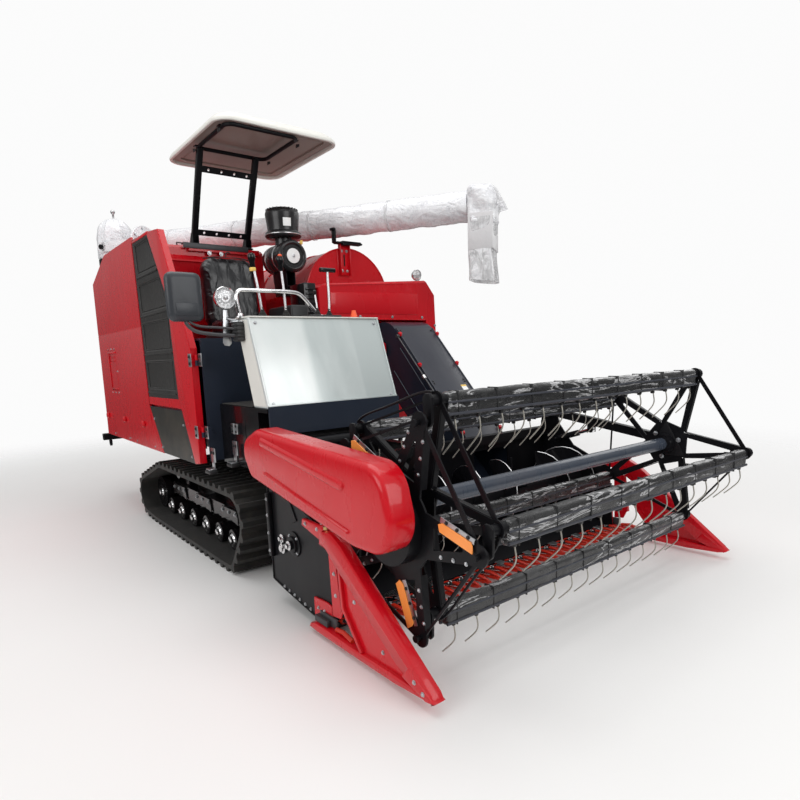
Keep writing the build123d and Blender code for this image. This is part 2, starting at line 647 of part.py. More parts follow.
def chute_outline(inset):
    """Side outline of the feeder house, drawn in from its outside by an inset."""
    end_radius = 190 - inset
    with BuildSketch() as outline:
        with Locations((pivot_x, pivot_z)):
            Circle(end_radius)
        with Locations((table_back - 12, mouth_high - 12 - inset), (table_back - 12, mouth_low + 12 + inset)):
            Circle(12)
        make_hull()
    return outline.sketch


with BuildPart() as feeder:
    with BuildSketch(side_plane(feeder_low)):
        add(chute_outline(0))
    extrude(amount=-feeder_width)
    with BuildSketch(side_plane(feeder_low + sheet)):
        add(chute_outline(sheet))
        with Locations((table_back, (mouth_low + mouth_high) / 2)):
            Rectangle(120, mouth_high - mouth_low - 2 * sheet - 20)
    extrude(amount=2 * sheet - feeder_width, mode=Mode.SUBTRACT)
    rod((pivot_x, feeder_low - 50, pivot_z), (pivot_x, feeder_up + 50, pivot_z), 25)
keep(feeder, "feeder_house")

with BuildPart() as deck:
    plate = [(table_back, 600), (table_back, 110), (1470, table_low), (knife_x - 60, knife_z - 36),
             (knife_x - 10, knife_z - 16), (knife_x - 40, 440), (1600, 560), (1480, 700), (1440, 845),
             (1360, 845), (table_back, 700)]
    slab(plate, table_right, table_right + plate_thick)
    slab(plate, table_left - plate_thick, table_left)
    block((table_back, table_back + plate_thick), (table_right, table_left), (200, 620))
    block((table_back, table_back + 55), (table_right, table_left), (615, 670))
    with BuildSketch(side_plane(table_right)):
        with BuildLine():
            inner, outer = flight_radius + 15, flight_radius + 23
            Line((auger_x - outer, auger_z), (auger_x - inner, auger_z))
            CenterArc((auger_x, auger_z), inner, 180, 90)
            Line((auger_x, auger_z - inner), (knife_x - 60, knife_z - 4))
            Line((knife_x - 60, knife_z - 4), (knife_x - 60, knife_z - 12))
            Line((knife_x - 60, knife_z - 12), (auger_x, auger_z - outer))
            CenterArc((auger_x, auger_z), outer, 270, -90)
        make_face()
    extrude(amount=table_right - table_left)
    shelf_end = auger_x - flight_radius - 15
    block((table_back, shelf_end), (table_right, table_left), (auger_z - 8, auger_z))
    block((table_back - 1, shelf_end + 45), (feeder_low + 20, feeder_up - 20),
          (mouth_low + 30, mouth_high - 30), mode=Mode.SUBTRACT)
    block((table_back, shelf_end + 45), (feeder_low + 10, feeder_up - 10), (mouth_low + 22, mouth_low + 30))
    for y in (table_right, table_left - plate_thick):
        disc(arm_pivot[0], arm_pivot[1], y - 1, y + plate_thick + 1, 25 + running, mode=Mode.SUBTRACT)
        disc(auger_x, auger_z, y - 1, y + plate_thick + 1, 22 + running, mode=Mode.SUBTRACT)
    for y in (lift_y - 28, lift_y + 18):
        slab([(table_back + 1, 460), (lift_eye[0] - 25, lift_eye[1] - 25), (lift_eye[0] - 25, lift_eye[1] + 25),
              (table_back + 1, 610)], y, y + 10)
    disc(*lift_eye, lift_y - 28, lift_y + 28, 10)
    for y, inward in ((swing_ys[0], table_right + 1), (swing_ys[1], table_left - 1)):
        rod((swing_base[0], inward, swing_base[1]), (swing_base[0], 2 * y - inward, swing_base[1]), 8)
keep(deck, "header_table")


def flight(y_start, y_end, hand):
    """Screw flight round the cross auger, faceted along its turns, as one closed ribbon."""
    steps = max(8, round(abs(y_end - y_start) / flight_pitch * 16))
    thick = 5
    rings = []
    for count in range(steps + 1):
        y = y_start + (y_end - y_start) * count / steps
        angle = hand * 360 * (y - y_start) / flight_pitch
        ring = []
        for radius, shift in ((auger_tube - 8, -thick), (flight_radius, -thick),
                              (flight_radius, 0), (auger_tube - 8, 0)):
            x, z = polar((auger_x, auger_z), radius, angle)
            ring.append(Vector(x, y + shift, z))
        rings.append(ring)
    faces = [Face(Wire.make_polygon(rings[0])), Face(Wire.make_polygon(rings[-1][::-1]))]
    for ring, ahead in zip(rings, rings[1:]):
        for a, b in ((0, 1), (1, 2), (2, 3), (3, 0)):
            faces.append(Face(Wire.make_polygon([ring[a], ring[b], ahead[b]])))
            faces.append(Face(Wire.make_polygon([ring[a], ahead[b], ahead[a]])))
    return Solid(Shell(faces))


fingers_low, fingers_high = feeder_low + 30, feeder_up - 30
with BuildPart() as auger:
    end_gap = 15
    disc(auger_x, auger_z, table_right + end_gap, table_left - end_gap, auger_tube)
    disc(auger_x, auger_z, table_right - 30, table_left + 30, 22)
    add(flight(table_right + end_gap + 10, feeder_low, 1))
    add(flight(table_left - end_gap - 5, feeder_up, -1))
    for count in range(5):
        y = fingers_low + (fingers_high - fingers_low) * count / 4
        tip = polar((auger_x, auger_z), flight_radius - 5, 72 * count + 20)
        rod((auger_x, y, auger_z), (tip[0], y, tip[1]), 7)
keep(auger, "cross_auger")

guard_count = math.floor((table_left - table_right - 60) / guard_pitch)
guard_start = (table_left + table_right) / 2 - (guard_count - 1) / 2 * guard_pitch
guard_ys = [guard_start + count * guard_pitch for count in range(guard_count)]
knife_thick = 3
with BuildPart() as guards:
    tip = knife_x + guard_reach
    jaw = [(knife_x - 50, knife_z - 14), (knife_x + 60, knife_z - 14), (tip, knife_z + 4),
           (knife_x + 60, knife_z + 17), (knife_x + 8, knife_z + 15), (knife_x + 8, knife_z + 5),
           (knife_x + 55, knife_z + 5), (knife_x + 55, knife_z - seat_gap), (knife_x - 29, knife_z - seat_gap),
           (knife_x - 29, knife_z - 4), (knife_x - 50, knife_z - 4)]
    for y in guard_ys:
        slab(jaw, y - 11, y + 11)
    block((knife_x - 60, knife_x - 32), (table_right + plate_thick, table_left - plate_thick),
          (knife_z - 34, knife_z - 6))
keep(guards, "knife_guards")

with BuildPart() as knife:
    reach = knife_x + 50
    low, high = guard_ys[0] - 20, guard_ys[-1] + 20
    teeth = [(knife_x - 25, high), (knife_x - 25, low)]
    for y in guard_ys:
        teeth += [(knife_x - 2, y - 36), (reach, y - 10), (reach, y + 10), (knife_x - 2, y + 36)]
    with BuildSketch(Plane.XY.offset(knife_z)):
        with BuildLine():
            Polyline(*teeth, close=True)
        make_face()
    extrude(amount=knife_thick)
keep(knife, "knife")

for name, y, side in (("divider_right", table_right, -1), ("divider_left", table_left, 1)):
    with BuildPart() as divider:
        slab([(1850, 20), (2380, 20), (2600, 42), (2110, 440), (2060, 510), (1900, 500), (1930, 130)],
             y + side * 38, y + side * 50)
        slab([(1750, 20), (2380, 20), (2590, 40), (2590, 52), (2380, 55), (1750, 40)], y, y + side * 50)
        slab([(1750, 25), (1850, 25), (1850, 150), (1750, 150)], y, y + side * 10)
        slab([(1690, 470), (1700, 505), (1895, 505), (2065, 512), (2115, 445), (2560, 85), (2540, 60),
              (2060, 430), (1890, 440), (1700, 425)], y, y + side * 50)
    keep(divider, name)

# ================= reel =================
axis = (reel_x, reel_z)
eccentric_z = reel_z - eccentric_drop
arm_angles = [reel_phase + 360 / reel_arms * count for count in range(reel_arms)]


def spider(centre, y, hub_radius, bore, tip_radius, tip_bore, arm_half, window_half):
    """Star of tapered plate arms with a window in each, bored at the hub and at every tip."""
    with BuildSketch(side_plane(y - 4)) as star:
        with Locations(centre):
            Circle(hub_radius)
            with PolarLocations(0, reel_arms, start_angle=reel_phase):
                Polygon((0, -arm_half), (reel_radius, -tip_radius * 0.85), (reel_radius, tip_radius * 0.85),
                        (0, arm_half), align=None)
            with PolarLocations(reel_radius, reel_arms, start_angle=reel_phase):
                Circle(tip_radius)
            with PolarLocations(0, reel_arms, start_angle=reel_phase):
                Polygon((hub_radius + 20, -window_half), (reel_radius - 70, -6), (reel_radius - 70, 6),
                        (hub_radius + 20, window_half), align=None, mode=Mode.SUBTRACT)
            with PolarLocations(reel_radius, reel_arms, start_angle=reel_phase):
                Circle(tip_bore + running, mode=Mode.SUBTRACT)
            Circle(bore, mode=Mode.SUBTRACT)
    extrude(star.sketch, amount=-8)


def ties(centre, y, standing):
    """Bars between neighbouring tips, outside the bats' bores; standing is how far out they lie."""
    for count in range(reel_arms):
        ends = [Vector(*polar(centre, reel_radius, arm_angles[count] + turn), 0)
                for turn in (0, 360 / reel_arms)]
        way = (ends[1] - ends[0]).normalized()
        out = Vector(way.Y, -way.X, 0)
        a, b = ends[0] + way * tie_start + out * standing, ends[1] - way * tie_start + out * standing
        deep = tie_deep if count in flat_ties else slim_tie
        bar((a.X, y, a.Y), (b.X, y, b.Y), tie_thick, deep)


tie_start = 24                # from a tip's centre to the near end of a tie
flat_ties, slim_tie = (0, 3), 9
with BuildPart() as reel:
    for y in reel_sides:
        spider(axis, y, 95, shaft_radius - 2, 32, bat_radius, 82, 44)
        ties(axis, y, tie_deep / 2)
    disc(*axis, arm_ys[0] - 20, arm_ys[1] + 20, shaft_radius)
    for y, other in (reel_sides, reel_sides[::-1]):
        inward = 1 if other > y else -1
        disc(*axis, y, y + inward * 60, 55)
keep(reel, "reel_spiders")

with BuildPart() as tine:
    thin, (bend_x, bend_z) = tine_radius, tine_bend
    slab([(-thin, 8 - board_drop), (bend_x - thin, bend_z), (-tine_back - thin, -tine_drop),
          (-tine_back + thin, -tine_drop), (bend_x + thin, bend_z), (thin, 8 - board_drop)], -thin, thin)

pin_reach = eccentric_y - 20
with BuildPart() as bat:
    rod((0, bat_ends[0], 0), (0, bat_ends[1], 0), bat_radius)
    slab([(-bat_radius, 2), (-board_half, -board_drop), (board_half, -board_drop), (bat_radius, 2)],
         reel_sides[0] + 25, reel_sides[1] - 25)
    slab([(-20, 0), (20, 0), (16, -eccentric_drop), (-16, -eccentric_drop)], bat_ends[0] - 12, bat_ends[0])
    rod((0, bat_ends[0], -eccentric_drop), (0, pin_reach, -eccentric_drop), 10)
    rod((0, bat_ends[0] - 12, -eccentric_drop), (0, bat_ends[0], -eccentric_drop), 18)
    tine_count = math.floor((reel_sides[1] - reel_sides[0] - 120) / tine_pitch) + 1
    tine_start = sum(reel_sides) / 2 - (tine_count - 1) / 2 * tine_pitch
    with Locations(*[(0, tine_start + count * tine_pitch, 0) for count in range(tine_count)]):
        add(tine.part)
for count, angle in enumerate(arm_angles):
    x, z = polar(axis, reel_radius, angle)
    piece = bat.part.moved(Location((x, 0, z)))
    piece.label = f"reel_bat_{count + 1}"
    export_step(piece, f"parts/reel_bat_{count + 1}.step")

flange_deep, flange_thick = 28, 4
with BuildPart() as eccentric:
    centre = (reel_x, eccentric_z)
    spider(centre, eccentric_y, disc_radius + 42, disc_radius + running, 38, 10, 118, 40)
    ties(centre, eccentric_y, tie_deep / 2)
    for angle in arm_angles:        # folded edges that stiffen each arm
        for hand in (-1, 1):
            edge = [polar(centre, math.hypot(along, wide), angle + hand * math.degrees(math.atan2(wide, along)))
                    for along, wide in ((disc_radius + 50, 76), (reel_radius - 30, 36))]
            spots = [(x, eccentric_y + flange_deep / 2, z) for x, z in edge]
            bar(*spots, flange_deep, flange_thick)
keep(eccentric, "eccentric_spider")

with BuildPart() as arms:
    for y in arm_ys:
        bar((arm_pivot[0], y, arm_pivot[1]), (reel_x, y, reel_z), 40, 50)
        disc(*arm_pivot, y - 20, y + 20, 30)
        disc(*axis, y - 20, y + 20, 58)
        disc(*axis, y - 21, y + 21, shaft_radius + running, mode=Mode.SUBTRACT)
    disc(*arm_pivot, arm_ys[0] - 20, table_left + 5, 25)
    disc(reel_x, eccentric_z, arm_ys[0] + 20, eccentric_y + 8, disc_radius)
    disc(reel_x, eccentric_z + 20, arm_ys[0] - 20, arm_ys[0] + 21, 60)
    disc(*axis, arm_ys[0] - 21, eccentric_y + 9, shaft_radius + running, mode=Mode.SUBTRACT)
    arm_slope = (reel_z - arm_pivot[1]) / (reel_x - arm_pivot[0])
    arm_low = arm_pivot[1] + arm_slope * (swing_eye[0] - arm_pivot[0]) - 25
    for y in swing_ys:
        for low in (y - 21, y + 15):
            block((swing_eye[0] - 18, swing_eye[0] + 18), (low, low + 6), (swing_eye[1] - 16, arm_low + 8))
        disc(*swing_eye, y - 21, y + 21, 6)
    block((swing_eye[0] - 18, swing_eye[0] + 18), (arm_ys[0] + 15, swing_ys[0] + 21), (arm_low, arm_low + 26))
keep(arms, "reel_arms")

with BuildPart() as cover:
    with BuildSketch(side_plane(cover_out)) as outline:
        for x, z, radius in cover_rounds:
            with Locations((x, z)):
                Circle(radius)
        make_hull()
    extrude(outline.sketch, amount=cover_out - cover_in)
    fillet(cover.faces().sort_by(Axis.Y)[0].edges(), 24)
    offset(amount=-8, openings=cover.faces().sort_by(Axis.Y)[-1])
    for start, end, wide in cover_ribs:
        with BuildSketch(side_plane(cover_out + 6)) as rib:
            with BuildLine():
                Line(start, end)
            trace(line_width=wide)
        extrude(rib.sketch, amount=10, taper=30)
    for x in (1700, 2120):
        arm_z = arm_pivot[1] + arm_slope * (x - arm_pivot[0])
        disc(x, arm_z, cover_out + 4, arm_ys[0] - 20 - seat_gap, 12)
keep(cover, "reel_drive_cover")

# ================= cylinders =================


def along_of(base, eye):
    """Unit direction and length between a cylinder's two pins, in the x-z plane."""
    span = Vector(eye[0] - base[0], 0, eye[1] - base[1])
    return span.normalized(), span.length


def barrel(base, eye, y, sizes, eye_radius, bore, half_width):
    """Cylinder barrel with a ring eye at its base pin, open at the rod's end."""
    outer, inner, long = sizes
    way, span = along_of(base, eye)
    start = Vector(base[0], y, base[1])
    rod(start + way * (eye_radius - 6), start + way * (eye_radius + 20), half_width - 2)
    rod(start + way * (eye_radius + 16), start + way * long, outer)
    rod(start + way * (eye_radius + 24), start + way * (long + 1), inner, mode=Mode.SUBTRACT)
    disc(*base, y - half_width, y + half_width, eye_radius)
    disc(*base, y - half_width - 1, y + half_width + 1, bore, mode=Mode.SUBTRACT)


def ram(base, eye, y, radius, eye_radius, bore, half_width, buried):
    """Cylinder rod from inside its barrel to a ring eye round the driven pin."""
    way, span = along_of(base, eye)
    start = Vector(base[0], y, base[1])
    rod(start + way * buried, start + way * (span - eye_radius + 3), radius)
    disc(*eye, y - half_width, y + half_width, eye_radius)
    disc(*eye, y - half_width - 1, y + half_width + 1, bore, mode=Mode.SUBTRACT)


with BuildPart() as lift_cylinder:
    barrel(lift_base, lift_eye, lift_y, lift_barrel, 28, 12 + running, 14)
keep(lift_cylinder, "lift_barrel")
with BuildPart() as lift_ram:
    ram(lift_base, lift_eye, lift_y, lift_rod, 34, 19, 14, 56)
keep(lift_ram, "lift_rod")
with BuildPart() as swing_cylinders:
    for y in swing_ys:
        barrel(swing_base, swing_eye, y, swing_barrel, 18, 8 + running, 12)
keep(swing_cylinders, "reel_barrels")
with BuildPart() as swing_rams:
    for y in swing_ys:
        ram(swing_base, swing_eye, y, swing_rod, 20, 12, 12, 46)
keep(swing_rams, "reel_rods")
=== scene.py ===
import math

import bpy
from mathutils import Matrix, Vector


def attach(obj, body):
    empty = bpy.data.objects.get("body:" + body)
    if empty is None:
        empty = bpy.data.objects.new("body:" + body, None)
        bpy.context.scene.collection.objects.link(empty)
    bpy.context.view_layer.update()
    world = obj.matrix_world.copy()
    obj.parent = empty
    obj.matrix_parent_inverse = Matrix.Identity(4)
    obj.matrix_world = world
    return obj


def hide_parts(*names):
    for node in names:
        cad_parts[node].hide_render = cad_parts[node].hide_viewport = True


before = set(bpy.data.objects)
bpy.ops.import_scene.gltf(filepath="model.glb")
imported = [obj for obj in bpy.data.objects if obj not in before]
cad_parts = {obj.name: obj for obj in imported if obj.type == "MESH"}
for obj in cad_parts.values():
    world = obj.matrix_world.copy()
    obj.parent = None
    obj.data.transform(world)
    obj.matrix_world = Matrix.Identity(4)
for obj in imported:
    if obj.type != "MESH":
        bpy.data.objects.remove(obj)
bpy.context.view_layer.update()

print("frame loaded:", len(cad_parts), "nodes")


# The bench: a piece is started from a primitive and shaped with edit-mode operators.
def letGo():
    if bpy.context.object and bpy.context.object.mode != "OBJECT":
        bpy.ops.object.mode_set(mode="OBJECT")
    for thing in bpy.context.selected_objects:
        thing.select_set(False)


def pick(thing):
    letGo()
    thing.select_set(True)
    bpy.context.view_layer.objects.active = thing


class Piece:  # a piece on the bench; its methods hand it back, so that steps can follow each other
    def __init__(self, name, thing=None):
        self.thing = thing or bpy.context.object
        self.thing.name = self.thing.data.name = name

    def hold(self):
        pick(self.thing)
        bpy.ops.object.transform_apply(location=True, rotation=True, scale=True)
        return self

    def edit(self, kind="FACE"):
        pick(self.thing)
        bpy.ops.object.mode_set(mode="EDIT")
        bpy.ops.mesh.select_mode(type=kind)
        return self

    def every(self):
        self.edit()
        bpy.ops.mesh.select_all(action="SELECT")
        return self

    def faces(self, test):  # test takes a face's centre and normal
        self.edit()
        bpy.ops.mesh.select_all(action="DESELECT")
        bpy.ops.object.mode_set(mode="OBJECT")
        for face in self.thing.data.polygons:
            face.select = bool(test(face.center, face.normal))
        bpy.ops.object.mode_set(mode="EDIT")
        return self

    def edges(self, test):  # test takes an edge's two ends
        self.edit("EDGE")
        bpy.ops.mesh.select_all(action="DESELECT")
        bpy.ops.object.mode_set(mode="OBJECT")
        mesh = self.thing.data
        for edge in mesh.edges:
            edge.select = bool(test(*[mesh.vertices[k].co for k in edge.vertices]))
        bpy.ops.object.mode_set(mode="EDIT")
        return self

    def extrude(self, x, y, z):
        bpy.ops.mesh.extrude_region_move(TRANSFORM_OT_translate={"value": (x, y, z)})
        return self

    def shift(self, x, y, z):
        bpy.ops.transform.translate(value=(x, y, z))
        return self

    def swell(self, x, y, z, centre):
        bpy.ops.transform.resize(value=(x, y, z), center_override=centre)
        return self

    def inset(self, width):
        bpy.ops.mesh.inset(thickness=width)
        return self

    def bevel(self, width, segments=2):
        bpy.ops.mesh.bevel(offset=width, segments=segments, affect="EDGES")
        return self

    def drop(self):
        bpy.ops.mesh.delete(type="FACE")
        return self

    def split(self, cuts):
        bpy.ops.mesh.subdivide(number_cuts=cuts)
        return self

    def cut(self, point, normal):  # a new line of edges where a plane meets the skin
        self.every()
        bpy.ops.mesh.bisect(plane_co=point, plane_no=normal)
        return self

    def outward(self):
        self.every()
        bpy.ops.mesh.remove_doubles(threshold=0.00002)
        bpy.ops.mesh.normals_make_consistent(inside=False)
        return self

    def modify(self, kind, **settings):
        pick(self.thing)
        modifier = self.thing.modifiers.new(kind.lower(), kind)
        for key, value in settings.items():
            setattr(modifier, key, value)
        bpy.ops.object.modifier_apply(modifier=modifier.name)
        return self

    def wall(self, thick):
        return self.modify("SOLIDIFY", thickness=thick, offset=-1)

    def rounded(self, width, segments=2, angle=35):
        return self.modify("BEVEL", width=width, segments=segments, limit_method="ANGLE",
                           angle_limit=math.radians(angle), use_clamp_overlap=True)

    def less(self, tool):  # cut away by another piece, which is used up
        self.modify("BOOLEAN", object=tool.thing, operation="DIFFERENCE")
        tool.away()
        return self

    def smoothed(self):
        return self.modify("SUBSURF", levels=1, render_levels=1)

    def points(self):  # the places of its vertices, to be moved one by one
        letGo()
        return [vertex.co for vertex in self.thing.data.vertices]

    def placed(self, matrix):
        letGo()
        self.thing.data.transform(matrix)
        return self

    def twin(self, name, matrix=Matrix()):
        letGo()
        thing = self.thing.copy()
        thing.data = self.thing.data.copy()
        bpy.context.collection.objects.link(thing)
        return Piece(name, thing).placed(matrix)

    def away(self):
        letGo()
        bpy.data.objects.remove(self.thing)

    def done(self, finish, body=None, angle=35, slot=None, stands=()):
        pick(self.thing)
        bpy.ops.object.shade_smooth_by_angle(angle=math.radians(angle))
        if finish is not None:
            self.thing.data.materials.clear()
            self.thing.data.materials.append(finish)
        if body:
            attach(self.thing, body)
        if stands:
            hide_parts(*stands)
        return self


def box(name, low, high):
    letGo()
    size = [b - a for a, b in zip(low, high)]
    bpy.ops.mesh.primitive_cube_add(size=1, location=[(a + b) / 2 for a, b in zip(low, high)], scale=size)
    return Piece(name).hold()


def plate(name, outline, axis, start, end):  # a sheet cut to an outline, thick along one axis
    letGo()
    bpy.ops.mesh.primitive_circle_add(vertices=len(outline), radius=1, fill_type="NGON")
    piece = Piece(name)
    place = {"x": lambda a, b: (start, a, b), "y": lambda a, b: (a, start, b), "z": lambda a,
             b: (a, b, start)}[axis]
    for vertex, (a, b) in zip(piece.thing.data.vertices, outline):
        vertex.co = place(a, b)
    way = [end - start if axis == letter else 0 for letter in "xyz"]
    return piece.every().extrude(*way).outward()


def turned(name, profile, place=(0, 0, 0), aim=(0, 0, 1), sides=32):  # (radius, height) steps along aim
    letGo()
    radius, height = profile[0]
    bpy.ops.mesh.primitive_circle_add(vertices=sides, radius=radius, location=(0, 0, height),
                                      fill_type="NGON")
    piece = Piece(name).hold().every()
    for nextRadius, nextHeight in profile[1:]:
        piece.extrude(0, 0, nextHeight - height)
        if abs(nextRadius - radius) > 1e-6:
            piece.swell(nextRadius / radius, nextRadius / radius, 1, (0, 0, nextHeight))
        radius, height = nextRadius, nextHeight
    piece.outward()
    turn = Vector(aim).to_track_quat("Z", "Y").to_matrix().to_4x4()
    return piece.placed(Matrix.Translation(place) @ turn)


def tube(name, points, radius, round=6, bend=0.0):  # a bent bar or pipe along smooth or straight runs
    letGo()
    bpy.ops.curve.primitive_bezier_curve_add()
    thing = bpy.context.object
    data = thing.data
    data.splines.clear()
    spline = data.splines.new("NURBS" if bend else "POLY")
    spline.points.add(len(points) - 1)
    for spot, point in zip(spline.points, points):
        spot.co = (*point, 1)
    if bend:
        spline.order_u, spline.use_endpoint_u = 3, True
    data.dimensions, data.bevel_depth, data.bevel_resolution = "3D", radius, max(0, round // 2 - 1)
    data.resolution_u, data.use_fill_caps = 6, True
    thing.location = (0, 0, 0)
    bpy.ops.object.convert(target="MESH")
    return Piece(name).hold().outward()


def joined(name, pieces):
    letGo()
    for piece in pieces:
        piece.thing.select_set(True)
    bpy.context.view_layer.objects.active = pieces[0].thing
    bpy.ops.object.join()
    return Piece(name, pieces[0].thing)


def copies(name, piece, matrices):  # one modelled shape set down at every place
    made = joined(name, [piece.twin(name + "Part", matrix) for matrix in matrices])
    piece.away()
    return made


def setDown(place, aim=(0, 0, 1), spin=0.0):
    turn = Vector(aim).to_track_quat("Z", "Y").to_matrix().to_4x4()
    return Matrix.Translation(place) @ turn @ Matrix.Rotation(spin, 4, "Z")


def hexBolts(name, places, size, body, finish, washer=1.5):  # places are (point, aim) pairs
    head = turned("bolt", [(size * washer, 0), (size * washer, size * 0.22), (size, size * 0.23),
                           (size, size * 0.8), (size * 0.8, size * 0.92)], sides=6)
    return copies(name, head, [setDown(place, aim, 0.5 * k) for k, (place, aim) in enumerate(places)]
                  ).done(finish, body, angle=25)


# Finishes. One class wraps a socket, so that masks and heights are written as plain sums.
class Wire:
    def __init__(self, finish, socket):
        self.finish, self.socket = finish, socket

    def sum(self, how, other, turned=False):
        pair = (other, self) if turned else (self, other)
        return self.finish.node("Math", {"operation": how}, {0: pair[0], 1: pair[1]})

    def __add__(self, other):
        return self.sum("ADD", other)

    def __radd__(self, other):
        return self.sum("ADD", other, True)

    def __sub__(self, other):
        return self.sum("SUBTRACT", other)

    def __rsub__(self, other):
        return self.sum("SUBTRACT", other, True)

    def __mul__(self, other):
        return self.sum("MULTIPLY", other)

    def __rmul__(self, other):
        return self.sum("MULTIPLY", other, True)


class Finish:
    def __init__(self, name, **fixed):
        self.material = bpy.data.materials.new(name)
        self.material.use_nodes = True
        self.tree = self.material.node_tree
        self.shader = self.tree.nodes["Principled BSDF"]
        for key, value in fixed.items():
            self.give(key, value)
        self.here = self.node("TexCoord", {}, {}, "Object")

    def give(self, key, value):  # a plain value or a wire into the shader
        names = {"color": "Base Color", "rough": "Roughness", "metal": "Metallic", "coat": "Coat Weight",
                 "coatRough": "Coat Roughness", "shine": "Specular IOR Level", "sheen": "Sheen Weight",
                 "clear": "Transmission Weight", "alpha": "Alpha", "normal": "Normal"}
        self.plug(self.shader.inputs[names[key]], value)
        return self

    def plug(self, socket, value):
        if isinstance(value, Wire):
            self.tree.links.new(value.socket, socket)
        elif hasattr(value, "__len__") and len(value) == 3 and socket.type == "RGBA":
            socket.default_value = (*value, 1)
        else:
            socket.default_value = value

    def node(self, kind, settings, inputs, out=0):
        made = self.tree.nodes.new("ShaderNode" + kind)
        for key, value in settings.items():
            if key == "stops":
                ramp = made.color_ramp
                while len(ramp.elements) < len(value):
                    ramp.elements.new(0.5)
                for element, (place, tone) in zip(ramp.elements, value):
                    element.position = place
                    element.color = (*tone, 1) if hasattr(tone, "__len__") else (tone, tone, tone, 1)
            else:
                setattr(made, key, value)
        for key, value in inputs.items():
            self.plug(made.inputs[key], value)
        return Wire(self, made.outputs[out])

    def spot(self, size=(1, 1, 1), turn=(0, 0, 0)):
        return self.node("Mapping", {}, {"Vector": self.here, "Scale": size, "Rotation": turn})

    def noise(self, scale, detail=3, size=(1, 1, 1), warp=0.0, rough=0.5, turn=(0, 0, 0)):
        return self.node("TexNoise", {}, {"Vector": self.spot(size, turn), "Scale": scale,
                                          "Detail": detail, "Distortion": warp, "Roughness": rough})

    def cells(self, scale, size=(1, 1, 1), feature="F1"):
        return self.node("TexVoronoi", {"feature": feature}, {"Vector": self.spot(size), "Scale": scale})

    def waves(self, scale, way="X", warp=0.0, detail=1.0):
        return self.node("TexWave", {"bands_direction": way}, {"Vector": self.here, "Scale": scale,
                                                               "Distortion": warp, "Detail": detail})

    def ramp(self, wire, *stops):
        return self.node("ValToRGB", {"stops": stops}, {"Fac": wire})

    def mask(self, wire, low, high):  # 0 below low, 1 above high
        return self.node("MapRange", {"interpolation_type": "SMOOTHSTEP"},
                         {"Value": wire, "From Min": low, "From Max": high})

    def level(self, axis):
        return self.node("SeparateXYZ", {}, {0: self.here}, axis)

    def blend(self, share, first, second):
        return self.node("Mix", {"data_type": "RGBA"}, {0: share, 6: first, 7: second}, 2)

    def bump(self, height, strength, depth=0.002, under=None):
        inputs = {"Height": height, "Strength": strength, "Distance": depth}
        if under:
            inputs["Normal"] = under
        return self.node("Bump", {}, inputs)


def dusty(finish, color, dust, share, low=0.1, high=1.2):  # dust gathers low down and in patches
    patches = finish.mask(finish.noise(5, 6, rough=0.65), 0.42, 0.75)
    height = finish.mask(finish.level("Z"), high, low)
    return finish.blend(patches * (height * share + share * 0.15), color, dust)


def paint(name, color, deep, rough=0.26, coat=0.4, peel=0.05, sway=0.25, dust=0.012, shine=0.24):
    # sprayed sheet metal: slow waves in the sheet, fine orange peel, faint smears in the gloss
    f = Finish(name, coatRough=0.04, shine=shine)
    f.give("coat", coat)
    tone = f.blend(f.noise(1.6, 4), color, deep)
    f.give("color", dusty(f, tone, (0.30, 0.22, 0.16), dust))
    f.give("rough", f.noise(9, 5, (1, 1, 0.4)) * 0.16 + (rough - 0.06))
    wavy = f.bump(f.noise(2.6, 2, (1, 1, 0.55), 0.6), sway, 0.03)
    f.give("normal", f.bump(f.noise(420, 2), peel, 0.001, wavy))
    return f.material


tones = {"red": ((0.62, 0.0030, 0.012), (0.52, 0.0022, 0.009)),
         "navy": ((0.016, 0.022, 0.036), (0.022, 0.030, 0.048)),
         "black": ((0.0045, 0.0045, 0.0055), (0.008, 0.008, 0.010)),
         "cream": ((0.80, 0.79, 0.74), (0.74, 0.73, 0.68)),
         "gloss": ((0.004, 0.004, 0.005), (0.007, 0.006, 0.007)),
         "charcoal": ((0.050, 0.054, 0.068), (0.040, 0.043, 0.055)),
         "olive": ((0.030, 0.029, 0.024), (0.022, 0.021, 0.018))}

redPaint = paint("redPaint", *tones["red"])
redFlat = paint("redFlat", *tones["red"], rough=0.3, coat=0.35, sway=0.08)
navyPaint = paint("navyPaint", *tones["navy"], rough=0.30, coat=0.25, sway=0.12, dust=0.015)
charcoalPaint = paint("charcoalPaint", *tones["charcoal"], rough=0.42, coat=0.1, dust=0.1)
blackPaint = paint("blackPaint", *tones["black"], rough=0.34, coat=0.05, sway=0.06, dust=0.008,
                   shine=0.14)
glossBlack = paint("glossBlack", *tones["gloss"], rough=0.16, coat=0.4, dust=0.012)
creamPaint = paint("creamPaint", *tones["cream"], rough=0.4, coat=0.15, sway=0.05, dust=0.05)
oliveBlack = paint("oliveBlack", *tones["olive"], rough=0.38, coat=0.15, dust=0.2)


def canopyUnder():
    f = Finish("canopyUnder", shine=0.4)
    f.give("color", f.blend(f.noise(3, 4), (0.33, 0.27, 0.235), (0.27, 0.22, 0.19)))
    f.give("rough", f.noise(30, 3) * 0.1 + 0.42)
    return f.give("normal", f.bump(f.noise(160, 2), 0.15)).material


